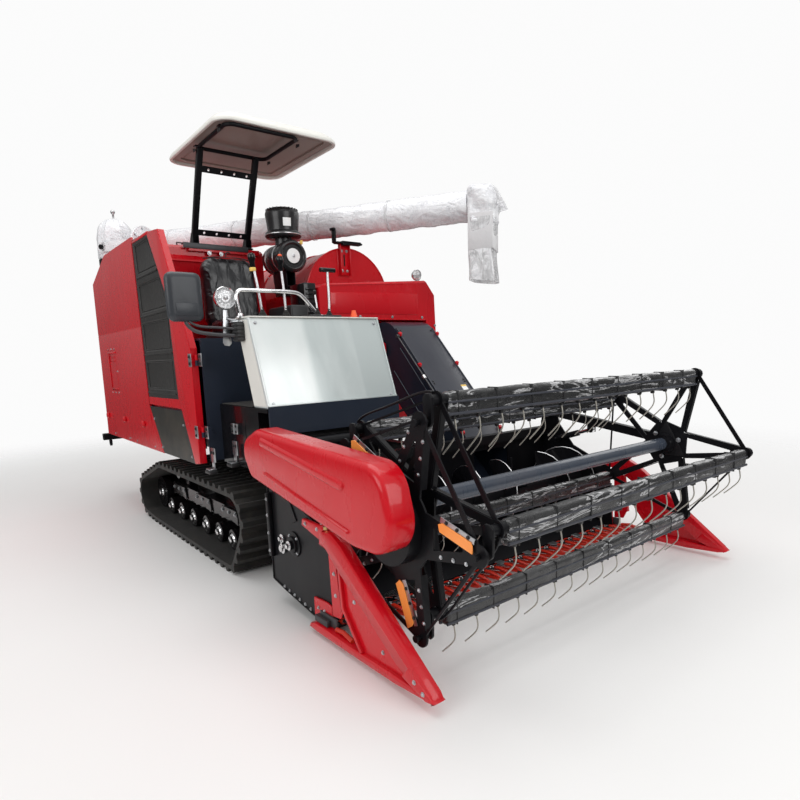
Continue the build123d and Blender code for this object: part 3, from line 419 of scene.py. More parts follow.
def dashSheet():  # zinc-bright sheet, faintly rolled: broad upright bands of painted reflection across it, and wiping smears
    f = Finish("dashSheet", metal=0.30, shine=0.5)
    cloud = f.noise(2.6, 4, (1, 1.8, 0.5), 0.6)
    across = f.level("Y")
    right, left, edge = f.mask(across, -0.47,
                               -0.42), f.mask(across, -0.16, -0.12), f.mask(across, -0.12, 0.02)
    # painted reflection: lightest at the sheet's right end, darker band by band towards the left, a
    # little lighter again at the left edge
    band = right * 0.30 + left * 0.28 - edge * 0.18
    f.give("color", f.ramp(cloud * 0.55 + band + 0.10, (0.22, (0.80, 0.83, 0.82)),
                           (0.45, (0.68, 0.73, 0.72)), (0.72, (0.52, 0.575, 0.57))))
    f.give("rough", f.noise(12, 4, (1, 3, 0.6)) * 0.18 + 0.24)
    return f.give("normal", f.bump(f.noise(1.8, 2, (1, 2.2, 0.4)), 0.25, 0.03)).material


def filmWrap(name, pale, grey):  # milky packing film, wound tight and full of creases
    f = Finish(name, shine=0.6, coatRough=0.12)
    crease = f.noise(7, 6, (1.0, 1.0, 1.6), 1.6, 0.62)
    fine = f.noise(34, 5, (1, 0.6, 1), 2.2, 0.6)
    tone = f.ramp(crease * 0.6 + fine * 0.4, (0.30, grey), (0.5, pale), (0.72, (0.93, 0.93, 0.94)))
    f.give("color", tone).give("rough", fine * 0.25 + 0.16).give("coat", 0.5)
    return f.give("normal", f.bump(fine, 0.35, 0.005, f.bump(crease, 0.8, 0.025))).material


milkyFilm = filmWrap("milkyFilm", (0.86, 0.865, 0.89), (0.68, 0.685, 0.72))


def batFilm():  # clear film drawn tight over a black board: dark, with fine white creases along it
    f = Finish("batFilm", shine=0.5, coatRough=0.12)
    crease = f.noise(10, 7, (1.3, 0.22, 1.6), 1.6, 0.66)
    lines = f.mask(crease, 0.535, 0.560) * (1 - f.mask(crease, 0.560, 0.600))
    haze = f.mask(f.noise(3.5, 4, (1, 0.6, 1)), 0.5, 0.8) * 0.10
    f.give("color", f.blend(lines * 0.8 + haze, (0.010, 0.010, 0.011), (0.60, 0.60, 0.61)))
    f.give("rough", f.noise(20, 4) * 0.25 + 0.16).give("coat", 0.45)
    return f.give("normal", f.bump(crease, 0.7, 0.012)).material


def rubber():
    f = Finish("trackRubber", shine=0.35, sheen=0.05)
    soil = f.mask(f.noise(6, 6, rough=0.7), 0.45, 0.8)
    f.give("color", f.blend(soil * 0.5, (0.017, 0.016, 0.015), (0.085, 0.072, 0.058)))
    f.give("rough", f.noise(40, 4) * 0.2 + 0.52)
    return f.give("normal", f.bump(f.noise(90, 6, rough=0.7), 0.3, 0.003)).material


def plastic(name, color, rough=0.42, grain=260, strength=0.12):
    f = Finish(name, shine=0.45)
    f.give("color", f.blend(f.noise(6, 4), color, tuple(v * 1.35 + 0.003 for v in color)))
    f.give("rough", f.noise(18, 3) * 0.12 + rough - 0.06)
    return f.give("normal", f.bump(f.cells(grain), strength, 0.0006)).material


def steel(name, color, rough=0.25, brushed=(1, 1, 1), metal=1.0):
    f = Finish(name, metal=metal)
    f.give("color", f.blend(f.noise(12, 5, brushed), color, tuple(v * 0.72 for v in color)))
    f.give("rough", f.noise(60, 4, brushed) * 0.22 + rough - 0.08)
    return f.give("normal", f.bump(f.noise(300, 2, brushed), 0.05, 0.0005)).material


def seatVinyl():  # soft black cover: fine grain, slack folds where it is pulled under
    f = Finish("seatVinyl", shine=0.6)
    f.give("color", f.blend(f.noise(8, 4), (0.007, 0.0075, 0.009), (0.013, 0.014, 0.017)))
    f.give("rough", f.noise(25, 4) * 0.16 + 0.22)
    folds = f.noise(7, 3, (1, 2.4, 0.8), 1.8)
    return f.give("normal", f.bump(f.cells(380), 0.12, 0.0005, f.bump(folds, 0.5, 0.012))).material


def screenMesh():  # woven wire over dark depth
    f = Finish("screenMesh", shine=0.4)
    cross = f.waves(90, "X") * f.waves(90, "Z")
    f.give("color", f.blend(cross, (0.010, 0.010, 0.010), (0.070, 0.068, 0.060)))
    f.give("rough", 0.5)
    return f.give("normal", f.bump(cross, 0.6, 0.002)).material


rubberBlack = rubber()
blackPlastic = plastic("blackPlastic", (0.016, 0.016, 0.017))
softPlastic = plastic("softPlastic", (0.030, 0.034, 0.040), 0.35, 120, 0.2)
yellowPlastic = plastic("yellowPlastic", (0.75, 0.50, 0.12))
orangePlastic = plastic("orangePlastic", (0.80, 0.10, 0.03))
reflectorOrange = plastic("reflectorOrange", (0.85, 0.28, 0.06), 0.3, 90, 0.3)
labelWhite = plastic("labelWhite", (0.80, 0.81, 0.80), 0.3, 400, 0.03)
tineCream = steel("tineWire", (0.50, 0.475, 0.42), 0.34, metal=0.4)
guardRed = paint("guardRed", (0.62, 0.028, 0.010), (0.5, 0.02, 0.008), rough=0.3, coat=0.4, sway=0.05)
brightSteel = steel("brightSteel", (0.72, 0.72, 0.73), 0.28)
knifeSteel = steel("knifeSteel", (0.80, 0.80, 0.81), 0.2, (1, 0.3, 1))
castIron = steel("castIron", (0.09, 0.09, 0.095), 0.45, metal=0.7)
chrome = steel("chrome", (0.90, 0.90, 0.91), 0.10)
zinc = steel("zincPlate", (0.62, 0.64, 0.66), 0.3)
radiatorScreen = screenMesh()
seatCover = seatVinyl()
underCanopy = canopyUnder()
silverSheet = dashSheet()
boardFilm = batFilm()
print("finishes mixed")

nodeFinish = {redPaint: ["tank_side_panel", "drum_cover", "thresher_hood", "cover_strip", "grain_tank",
                         "seat_wall", "reel_drive_cover", "divider_right", "divider_left", "straw_hood",
                         "boom_cradle"], redFlat: ["thresher_body", "standing_auger"],
              navyPaint: ["engine_bonnet", "dash_skirt", "feeder_house", "cover_lower_panel"],
              glossBlack: ["platform", "running_gear_right", "running_gear_left"],
              blackPaint: ["chassis_frame", "canopy_posts", "header_table", "reel_arms", "reel_spiders",
                           "eccentric_spider", "lift_barrel", "reel_barrels", "gearbox", "engine_block",
                           "radiator", "seat_base", "cross_auger"], castIron: ["drive_sprockets"],
              rubberBlack: ["track_right", "track_left"], radiatorScreen: ["radiator_screen"],
              silverSheet: ["dash_box"], seatCover: ["seat_cushion", "seat_back"],
              blackPlastic: ["air_cleaner", "mirror_and_arm", "control_levers"],
              chrome: ["handrail", "lift_rod", "reel_rods", "headlamp"], creamPaint: ["canopy_roof"],
              milkyFilm: ["unloading_tube", "unloading_spout", "auger_elbow"], guardRed: ["knife_guards"],
              knifeSteel: ["knife"], boardFilm: ["reel_bat_1", "reel_bat_2", "reel_bat_3", "reel_bat_4",
                                                 "reel_bat_5"],}
for finish, names in nodeFinish.items():
    for name in names:
        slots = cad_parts[name].data.materials
        for index in range(len(slots)):
            slots[index] = finish
dressed = [name for names in nodeFinish.values() for name in names]
print("nodes dressed:", len(dressed), "of", len(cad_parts), set(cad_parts) - set(dressed))


# Reel: film-wrapped bats with curved tines, spider flanges, braces and reflectors.
reel = {"x": 2.305, "z": 0.655, "reach": 0.413, "phase": -2, "right": -0.655, "left": 1.200,
        "outer": -0.738, "drop": 0.070, "tines": 15, "pitch": 0.122, "tineTip": 0.208, "wire": 0.0029,
        "hoops": -0.668}


def batPlace(count):
    turn = math.radians(reel["phase"] + 72 * count)
    return Matrix.Translation((reel["x"] + reel["reach"] * math.cos(turn), 0,
                               reel["z"] + reel["reach"] * math.sin(turn)))


def makeBats():
    middle, low, high = (reel["right"] + reel["left"]) / 2, reel["right"] + 0.028, reel["left"] - 0.028
    long = high - low
    # the wrap: film wound over pipe and board, pinched by its bands every fifth of a metre
    steps = 72
    wrap = box("batWrap", (-0.025, low, -0.064), (0.025, high, 0.027)).rounded(0.018, 3)
    for k in range(1, steps):
        wrap.cut((0, low + long * k / steps, 0), (0, 1, 0))
    for k in range(2, steps, 8):
        at = low + long * k / steps
        wrap.faces(lambda c, n: abs(c.y - at) < long / steps * 0.9).swell(0.965, 1, 0.985, (0, at, -0.02))
    crumple = bpy.data.textures.new("crumple", "CLOUDS")
    crumple.noise_scale = 0.05
    wrap.smoothed().modify("DISPLACE", texture=crumple, strength=0.0055, mid_level=0.5)
    bands = [box("band", (-0.0268, low + long * k / steps - 0.002, -0.0655),
                 (0.0268, low + long * k / steps + 0.002, 0.0285)).rounded(0.018, 3)
             for k in range(2, steps, 8)]
    bands = joined("batBands", bands)
    # the smooth lower lip of the board shows under the film, and the tine bar in front
    lip = box("batLip", (-0.028, low, -0.066), (-0.018, high, -0.050)).rounded(0.003)
    front = box("batFront", (0.0225, low, -0.014), (0.0272, high, -0.006)).rounded(0.002)
    ridge = turned("batRidge", [(0.006, 0), (0.006, long)], (0.022, low, -0.052), (0, 1, 0), 10)
    lips = joined("batLips", [lip, front, ridge])
    # pipe with its crank to the outer spider
    pipe = turned("batPipe", [(0.0205, 0), (0.0205, 1.925)], (0, -0.690, 0), (0, 1, 0), 16)
    cap = turned("batCap", [(0.027, 0), (0.027, 0.012), (0.020, 0.016)], (0, 1.222, 0), (0, 1, 0), 12)
    drop = reel["drop"]
    crank = plate("batCrank", [(-0.024, 0.012), (-0.012, 0.025), (0.012, 0.025), (0.024, 0.012),
                               (0.020, -drop - 0.008), (0.010, -drop - 0.020), (-0.010, -drop - 0.020),
                               (-0.020, -drop - 0.008)], "y", -0.702, -0.690).rounded(0.002)
    pin = turned("batPin", [(0.0095, 0), (0.0095, 0.060), (0.014, 0.061), (0.014, 0.068)],
                 (0, -0.698, -drop), (0, -1, 0), 12)
    pipe = joined("batPipe", [pipe, cap, crank, pin])
    # one tine, bent as pulled wire, with its clip
    tip, root = -reel["tineTip"], -0.060
    wire = tube("tine", [(0.004, 0, root + 0.006), (0.013, 0, root - 0.030), (0.016, 0, root - 0.060),
                         (-0.004, 0, root - 0.094), (-0.0585, 0, tip + 0.002)], reel["wire"], 8, bend=1)
    clip = box("clip", (-0.004, -0.008, root - 0.014), (0.013, 0.008, root + 0.004)).rounded(0.004)
    start = middle - (reel["tines"] - 1) / 2 * reel["pitch"]
    rows = [Matrix.Translation((0, start + k * reel["pitch"], 0)) for k in range(reel["tines"])]
    wires, clips = copies("tines", wire, rows), copies("clips", clip, rows)
    for k in range(5):
        body = f"bat_{k + 1}"
        wrap.twin(f"batWrap{k + 1}", batPlace(k)).done(boardFilm, body, 50)
        bands.twin(f"batBands{k + 1}", batPlace(k)).done(blackPlastic, body, 50)
        lips.twin(f"batLips{k + 1}", batPlace(k)).done(charcoalPaint, body, 50)
        clips.twin(f"batClips{k + 1}", batPlace(k)).done(blackPlastic, body)
        wires.twin(f"batTines{k + 1}", batPlace(k)).done(tineCream, body, 60)
        pipe.twin(f"batPipe{k + 1}", batPlace(k)).done(blackPaint, body, slot="black_paint",
                                                       stands=[f"reel_bat_{k + 1}"])
    for piece in (wrap, bands, lips, wires, clips, pipe):
        piece.away()


def armMatrix(k, centreZ):  # X runs out along arm k, Y is across the machine
    return (Matrix.Translation((reel["x"], 0, centreZ))
            @ Matrix.Rotation(-math.radians(reel["phase"] + 72 * k), 4, "Y"))


def makeSpiders():
    outerZ = reel["z"] - reel["drop"]
    bolts = [(armMatrix(k, outerZ) @ Vector((r, reel["outer"] - 0.004, hand * (0.078 - r * 0.105))),
              (0, -1, 0)) for k in range(5) for hand in (-1, 1) for r in (0.24, 0.30, 0.36)]
    hexBolts("outerBolts", bolts, 0.0055, "eccentric", zinc)
    # folded flanges along both edges of the inner spiders' arms
    for name, y in (("flangeRight", reel["right"]), ("flangeLeft", reel["left"])):
        strips = []
        for k in range(5):
            for hand in (-1, 1):
                strip = plate("strip", [(0.100, hand * 0.070), (0.385, hand * 0.029),
                                        (0.385, hand * 0.033), (0.100, hand * 0.074)], "y", y,
                              y + 0.024).rounded(0.0015, 1)
                strips.append(strip.placed(armMatrix(k, reel["z"])))
        joined(name, strips).done(blackPaint, "reel", slot="black_paint")
    # hub plates: five-sided on the right, a three-cornered gusset on the left
    for name, y, side, corners in (("hubRight", reel["right"], 1, 5), ("hubLeft", reel["left"], -1, 3)):
        ring = turned(name, [(0.130, 0), (0.130, 0.006), (0.124, 0.008)],
                      (reel["x"], y + side * 0.004, reel["z"]), (0, side, 0), corners)
        ring.done(blackPaint, "reel", slot="black_paint")
        spots = [((reel["x"] + 0.078 * math.cos(a), y + side * 0.012, reel["z"] + 0.078 * math.sin(a)),
                  (0, side, 0)) for a in [math.radians(18 + 360 / corners * n) for n in range(corners)]]
        hexBolts(name + "Bolts", spots, 0.010, "reel", zinc)
    # bent hoop rods between the tips of three pairs of arms
    tips = [batPlace(k).translation for k in range(5)]
    rods = []
    for k in (1, 2, 4):
        a, b = tips[k], tips[(k + 1) % 5]
        out = ((a + b) / 2 - Vector((reel["x"], 0, reel["z"]))).normalized()
        route = [a + out * 0.028, a.lerp(b, 0.07) + out * 0.046, a.lerp(b, 0.5) + out * 0.040,
                 a.lerp(b, 0.93) + out * 0.046, b + out * 0.028]
        rods.append(tube("rod", [(p.x, reel["hoops"], p.z) for p in route], 0.005, 8, bend=1))
    joined("roundBraces", rods).done(blackPaint, "reel", slot="black_paint")
    # blank orange reflectors with silver backs, clipped on three of the outer arms
    strips, backs, clips = [], [], []
    y = reel["outer"] - 0.010
    for start, end, wide in (((2.040, 0.870), (2.222, 0.782), 0.040),
                             ((2.541, 0.636), (2.706, 0.592), 0.036),
                             ((2.314, 0.380), (2.380, 0.212), 0.044)):
        a, b = Vector((start[0], 0, start[1])), Vector((end[0], 0, end[1]))
        long, turn = (b - a).length, -math.atan2(b.z - a.z, b.x - a.x)
        seat = Matrix.Translation((a.x, 0, a.z)) @ Matrix.Rotation(turn, 4, "Y")
        half = wide / 2
        shape = [(0.012, -half), (long, -half), (long - 0.008, half * 0.5), (long - 0.018, half),
                 (0.018, half), (0, half * 0.3)]
        strips.append(plate("reflector", shape, "y", y - 0.004, y).rounded(0.001, 1).placed(seat))
        backs.append(box("back", (0.004, y, half - 0.004),
                         (long - 0.006, y + 0.003, half + 0.016)).placed(seat))
        clips += [(seat @ Vector((long * share, y - 0.001, half + 0.008)), (0, -1, 0))
                  for share in (0.2, 0.5, 0.8)]
    joined("reflectors", strips).done(reflectorOrange, "eccentric")
    joined("reflectorBacks", backs).done(zinc, "eccentric")
    hexBolts("reflectorClips", clips, 0.005, "eccentric", blackPlastic)


makeBats()
makeSpiders()
print("reel dressed")


# Reel drive cover: a pressed, rounded shell with two long ribs.
driveCover = {"out": -0.905, "inner": -0.797, "wall": 0.003, "round": 0.028, "studs": -0.898}


def hullOutline(circles, sides=26):  # outline drawn tight round circles (x, z, radius)
    points = []
    for k in range(sides * 2):
        a = 2 * math.pi * k / (sides * 2)
        x, z, r = max(circles, key=lambda c: c[0] * math.cos(a) + c[1] * math.sin(a) + c[2])
        points.append((x + r * math.cos(a), z + r * math.sin(a)))
    return points


def makeDriveCover():
    outline = hullOutline([(1.420, 0.775, 0.085), (1.500, 0.795, 0.098), (2.330, 0.715, 0.130),
                           (2.350, 0.650, 0.128), (2.250, 0.640, 0.120), (1.440, 0.720, 0.070)])
    shell = plate("driveCover", outline, "y", driveCover["inner"], driveCover["out"])
    shell.edges(lambda a, b: abs(a.y - driveCover["out"]) < 1e-4 and abs(b.y - driveCover["out"]) < 1e-4)
    shell.bevel(driveCover["round"], 5)
    shell.faces(lambda c, n: n.y > 0.9).drop()
    shell.outward().wall(driveCover["wall"])
    shell.done(redPaint, "reel_lift", 40, slot="red_paint", stands=["reel_drive_cover"])
    ribs = []
    for ends, width in ((((1.545, 0.842), (2.215, 0.740)), 0.026),
                        (((1.560, 0.700), (2.235, 0.575)), 0.010)):
        (xa, za), (xb, zb) = ends
        long = math.hypot(xb - xa, zb - za)
        rib = box("rib", (0, driveCover["out"] - 0.009, -width), (long, driveCover["out"] + 0.004, width))
        rib.edges(lambda a, b: abs(a.y - b.y) > 0.001 and a.x > long / 2).bevel(width * 0.95, 4)
        rib.faces(lambda c, n: n.y < -0.9).swell(0.985, 1, 0.45, (long / 2, driveCover["out"] - 0.009, 0))
        rib.rounded(0.004, 3, 20)
        ribs.append(rib.placed(Matrix.Translation((xa, 0, za))
                               @ Matrix.Rotation(-math.atan2(zb - za, xb - xa), 4, "Y")))
    joined("coverRibs", ribs).done(redPaint, "reel_lift", 40, slot="red_paint")
    studs = [turned("coverStud", [(0.012, 0), (0.012, 0.066)], (x, driveCover["studs"], z), (0, 1, 0), 12)
             for x, z in ((1.700, 0.751), (2.120, 0.702))]
    joined("coverStuds", studs).done(zinc, "reel_lift", slot="bright_steel")


makeDriveCover()
print("drive cover pressed")


# Right-hand side: tank panel, folded front strip, moulded screen, lower panel, hinges and brackets.
side = {"face": -0.880, "crease": 1.445, "band": (0.931, 0.985), "pads": 4, "padsZ": (1.000, 1.985),
        "hinges": (1.2110, 0.8105), "lowerZ": (0.620, 0.916), "stepFace": -0.7508}
screenOutline = [(-0.2495, 1.998), (0.082, 1.989), (0.360, 1.575), (0.3945, 0.994), (0.420, 0.945),
                 (-0.2285, 0.945)]


def fromNode(name, node):  # a copy of a CAD node's mesh, merged, to be shaped further
    letGo()
    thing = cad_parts[node].copy()
    thing.data = thing.data.copy()
    bpy.context.collection.objects.link(thing)
    return Piece(name, thing).outward()


def makeTankPanel():
    face = side["face"]
    # one sheet with a pressed crease, a vent pocket and a lapped lower sheet
    upper = plate("tankSheet", [(-1.5845, 0.816), (-1.530, 1.860), (-1.040, 2.020), (-0.258, 2.020),
                                (-0.2385, 0.980), (-0.2245, 0.816)], "y", face - 0.0004, face - 0.0024)
    for z in (side["crease"], side["crease"] - 0.006, side["crease"] + 0.006):
        upper.cut((0, 0, z), (0, 0, 1))
    upper.edges(lambda a, b: abs(a.z - side["crease"]) < 1e-4 and abs(b.z - side["crease"]) < 1e-4
                and a.y < face - 0.002 and b.y < face - 0.002).shift(0, 0.0016, 0)
    upper.less(box("hole", (-1.268, face - 0.02, 1.002), (-1.032, face + 0.02, 1.298)).rounded(0.012, 3))
    upper.rounded(0.0008, 1, 60).done(redPaint, "chassis", 30)
    lower = plate("tankLowerSheet", [(-1.608, 0.620), (-1.588, 0.816), (-0.2245, 0.816), (-0.020, 0.620)],
                  "y", face - 0.0004, face - 0.0014).rounded(0.0004, 1, 60)
    lower.done(redPaint, "chassis", 30)
    # vent: rolled lip on top, louvre bars within, framed below
    parts = [box("lip", (-1.272, face - 0.010, 1.288), (-1.028, face + 0.002, 1.304)).rounded(0.005, 3)]
    parts += [box("louvre", (-1.262, face + 0.001, z), (-1.038, face + 0.0016, z + 0.022)).rounded(0.0002)
              for z in (1.255, 1.225)]
    parts.append(box("sill", (-1.262, face - 0.0045, 1.006),
                     (-1.038, face + 0.0015, 1.020)).rounded(0.002))
    parts += [box("jamb", (x, face - 0.0035, 1.006), (x + 0.008, face + 0.0015, 1.290)).rounded(0.002)
              for x in (-1.270, -1.038)]
    joined("tankVent", parts).done(redPaint, "chassis")
    spots = [((x, face - 0.003, z), (0, -1, 0))
             for x, z in ((-1.250, 1.322), (-1.150, 1.324), (-1.050, 1.322), (-1.016, 1.150),
                          (-1.250, 0.985), (-1.150, 0.985), (-1.050, 0.985), (-1.324, 0.640),
                          (-0.860, 0.640), (-0.650, 0.640), (-0.193, 0.640))]
    hexBolts("tankScrews", spots, 0.0055, "chassis", zinc)
    knobs = [turned("knob", [(0.020, 0), (0.024, 0.004), (0.024, 0.012), (0.019, 0.020)],
                    (x, face - 0.0012, 0.781), (0, -1, 0), 8) for x in (-1.494, -0.946, -0.416)]
    joined("tankKnobs", knobs).done(redFlat, "chassis")


def makeFrontStrip():
    face, proud = side["face"], 0.0022
    sheet = plate("stripSheet", [(0.087, 1.989), (0.363, 1.575), (0.397, 0.994), (0.431, 0.932),
                                 (0.590, 0.618), (0.674, 0.630), (0.677, 1.277), (0.314, 1.967)], "y",
                  face - 0.0004, face - proud)
    top, low = Vector((0.372, face, 1.620)), Vector((0.598, face, 0.700))
    run = (low - top).normalized()
    sheet.cut(top, (run.z, 0, -run.x))
    onFold = lambda p: abs((p - top).cross(run).y) < 1e-4 and p.y < face - 0.002
    sheet.edges(lambda a, b: onFold(a) and onFold(b)).shift(0, -0.0055, 0)
    sheet.rounded(0.0006, 1, 50).done(redPaint, "side_cover", 8)
    # a returned edge down the front and the cap over the screen
    edge = tube("stripEdge", [(0.314, face - 0.002, 1.967), (0.677, face - 0.002, 1.277),
                              (0.675, face - 0.002, 0.630)], 0.0032, 6)
    cap = box("cap", (-0.243, face - 0.004, 1.975), (0.110, face + 0.030, 1.992)).rounded(0.003)
    joined("stripEdges", [edge, cap]).done(redPaint, "side_cover")
    low, high = side["band"]
    band = plate("screenBand", [(-0.2255, low), (-0.2265, high - 0.004), (0.398, high), (0.4285, low)],
                 "y", face - 0.0004, face - 0.0022)
    band.rounded(0.0006, 1).done(redPaint, "side_cover")


def padSpans():  # each sunk pad's lower and upper edge, and how far forward it reaches at both
    low, high = side["padsZ"]
    tall = (high - low) / side["pads"]
    spans = []
    for k in range(side["pads"]):
        bottom, top = low + tall * k + 0.030, low + tall * (k + 1) - 0.022
        spans.append((bottom, top, *[min(0.380 - max(0, z - 1.575) * 0.671, 0.380) - 0.030
                                     for z in (bottom, top)]))
    return spans


def makeScreen():  # moulded black cover with sunk pads between ledges
    face = side["face"]
    slab = plate("screenMould", screenOutline, "y", face + 0.012, face + 0.0004)
    parts = []
    for bottom, top, reachLow, reachHigh in padSpans():
        pad = plate("pad", [(-0.205, bottom), (reachLow, bottom), (reachHigh, top), (-0.215, top)], "y",
                    face - 0.02, face + 0.0055)
        slab.less(pad.rounded(0.020, 4, 20))
    slab.rounded(0.0022, 2, 40)
    slab.done(screenMould, "side_cover", 30, slot="black_paint", stands=["radiator_screen"])
    back = plate("screenBack", screenOutline, "y", face + 0.025, face + 0.0125)
    back.done(blackPlastic, "side_cover")
    for bottom, top, reachLow, reachHigh in padSpans():  # a raised rim in each pad and a ledge under it
        y, low, high = face + 0.004, bottom + 0.016, top - 0.016
        rim = [(-0.190, y, low), (reachLow - 0.018, y, low), (reachHigh - 0.018, y, high),
               (-0.199, y, high), (-0.190, y, low)]
        parts.append(tube("rim", rim, 0.0028, 6))
        ledge = box("ledge", (-0.222, face - 0.006, bottom - 0.022),
                    (reachLow + 0.010, face + 0.003, bottom - 0.010))
        parts.append(ledge.rounded(0.003))
    joined("screenRims", parts).done(screenMould, "side_cover", 40)


def makeLowerPanel():
    face = side["face"]
    low, high = side["lowerZ"]
    sheet = plate("lowerSheet", [(-0.2275, high), (0.4325, high), (0.5855, low), (-0.004, low)], "y",
                  face - 0.0004, face - 0.0016)
    sheet.cut((0, 0, 0.862), (0, 0, 1)).rounded(0.0005, 1, 50)
    sheet.done(oliveBlack, "side_cover", 20)
    spots = [((x, face - 0.002, z), (0, -1, 0)) for x, z in
             ((-0.146, 0.836), (0.440, 0.834), (-0.020, 0.655), (0.545, 0.655))]
    hexBolts("lowerScrews", spots, 0.0065, "side_cover", zinc)


def makeHinges():  # plain butterfly hinges with four black screws each
    leafs, screws = {"side_cover": [], "chassis": []}, {"side_cover": [], "chassis": []}
    for z in side["hinges"]:
        for body, low, high, y in (("side_cover", 0.642, 0.690, -0.8838),
                                   ("chassis", 0.710, 0.758, -0.8500)):
            leaf = box("leaf", (low, y - 0.003, z - 0.036), (high, y, z + 0.036)).rounded(0.006, 3, 60)
            leafs[body].append(leaf.rounded(0.0008, 1, 60))
            middle = (low + high) / 2
            screws[body] += [((middle, y - 0.0035, z + dz), (0, -1, 0)) for dz in (-0.019, 0.019)]
    block = [box("hingePad", (0.704, -0.8500, z - 0.030), (0.752, -0.8310, z + 0.030))
             for z in side["hinges"]]
    joined("hingePads", block).done(navyPaint, "chassis")
    for body, pieces in leafs.items():
        joined("hingeLeafs_" + body, pieces).done(zinc, body)
        hexBolts("hingeScrews_" + body, screws[body], 0.007, body, blackPlastic)
    # small hinge, slot and folded brackets low on the step box
    y = side["stepFace"]
    leaf = [box("leaf", (x, y - 0.004, 0.805), (x + 0.040, y, 0.862)).rounded(0.006, 3, 60)
            for x in (0.845, 0.893)]
    leaf.append(turned("pin", [(0.005, 0), (0.005, 0.060)], (0.889, y - 0.004, 0.804), (0, 0, 1), 10))
    joined("stepHinge", leaf).done(zinc, "chassis")
    hexBolts("stepScrews", [((x, y - 0.004, z), (0, -1, 0)) for x in (0.865, 0.913)
                            for z in (0.818, 0.849)], 0.006, "chassis", blackPlastic)
    # the slot is a thin gloss black strip laid on the box: painted shade standing in for the opening
    box("stepSlot", (1.022, y - 0.0015, 0.740),
        (1.034, y + 0.001, 0.895)).rounded(0.001).done(glossBlack, "chassis")
    feet, pads, spots = [], [], []
    for x, y, z in ((0.735, -0.8355, 0.600), (0.845, -0.7505, 0.640)):
        feet.append(box("foot", (x, y - 0.005, z + 0.045),
                        (x + 0.062, y, z + 0.125)).rounded(0.012, 3, 60))
        feet.append(box("neck", (x + 0.012, y - 0.007, z + 0.010),
                        (x + 0.050, y - 0.001, z + 0.060)).rounded(0.002))
        feet.append(box("toe", (x + 0.002, y - 0.042, z + 0.004),
                        (x + 0.064, y, z + 0.012)).rounded(0.003))
        pads.append(box("pad", (x - 0.004, y - 0.046, z - 0.016),
                        (x + 0.074, y + 0.002, z + 0.003)).rounded(0.004))
        spots += [((x + dx, y - 0.005, z + 0.098), (0, -1, 0)) for dx in (0.016, 0.046)]
    joined("catchPlates", feet).done(zinc, "chassis")
    joined("catchPads", pads).done(blackPlastic, "chassis")
    hexBolts("catchScrews", spots, 0.007, "chassis", blackPlastic)


def mould():
    f = Finish("screenMould", shine=0.45)
    worn = f.mask(f.noise(22, 6, (1, 1, 0.5), rough=0.7), 0.5, 0.8)
    f.give("color", f.blend(worn * 0.6, (0.022, 0.021, 0.020), (0.055, 0.052, 0.046)))
    f.give("rough", f.noise(40, 5) * 0.25 + 0.33)
    scratch = f.noise(60, 3, (1, 1, 0.12), 0.4)
    return f.give("normal", f.bump(scratch, 0.25, 0.002, f.bump(f.cells(240), 0.25, 0.001))).material


screenMould = mould()
makeTankPanel()
makeFrontStrip()
makeScreen()
makeLowerPanel()
makeHinges()
print("right side dressed")


# Driver's station: dash, levers, handrail feet, mirror, lamp, seat and the wall behind it.
dash = {"top": 1.410, "back": 1.000, "front": 1.150, "toe": 1.310, "floor": 0.960, "right": -0.740,
        "left": 0.050}


def makeDash():
    d = dash
    shell = plate("dashShell", [(d["back"], d["top"]), (d["front"], d["top"]), (d["toe"], d["floor"]),
                                (1.140, d["floor"])], "y", d["right"], d["left"])
    shell.rounded(0.007, 3).done(silverSheet, "chassis", slot="cream_paint", stands=["dash_box"])
    lid = box("dashLid", (d["back"] - 0.006, d["right"] - 0.005, d["top"] + 0.0005),
              (d["front"] + 0.008, d["left"] + 0.005, d["top"] + 0.008))
    lid.rounded(0.003, 2).done(creamPaint, "chassis")
    # returned side flanges and a folded lower hem, screwed to the skirt
    run = Vector((d["toe"] - d["front"], 0, d["floor"] - d["top"])).normalized()
    out = Vector((-run.z, 0, run.x))
    strips = []
    for y in (d["right"] - 0.0035, d["left"] - 0.006):
        a = Vector((d["front"], y, d["top"])) + out * 0.001
        b = Vector((d["toe"], y, d["floor"])) + out * 0.001
        strips.append(plate("flange", [(a.x - 0.016, a.z), (a.x + out.x * 0.004, a.z + out.z * 0.004),
                                       (b.x + out.x * 0.004, b.z + out.z * 0.004),
                                       (b.x - 0.016, b.z + 0.001)], "y", y, y + 0.0095).rounded(0.002))
    hem = box("hem", (d["toe"] - 0.004, d["right"] - 0.003, d["floor"] + 0.001),
              (d["toe"] + 0.005, d["left"] + 0.003, d["floor"] + 0.020)).rounded(0.003)
    joined("dashFlanges", strips + [hem]).done(silverSheet, "chassis")
    spots = []
    for share in (0.06, 0.95):
        for y in (d["right"] + 0.030, d["left"] - 0.030):
            high, low = Vector((d["front"], y, d["top"])), Vector((d["toe"], y, d["floor"]))
            p = high.lerp(low, share) + out * 0.0005
            spots.append((p, out))
    hexBolts("dashScrews", spots, 0.0065, "chassis", zinc)
    side = plate("dashSide", [(d["back"] + 0.008, d["top"] - 0.008),
                              (d["front"] - 0.012, d["top"] - 0.008),
                              (d["toe"] - 0.022, d["floor"] + 0.010), (1.146, d["floor"] + 0.010)], "y",
                 d["right"] - 0.0005, d["right"] - 0.0022)
    side.rounded(0.0008, 1).done(creamPaint, "chassis")


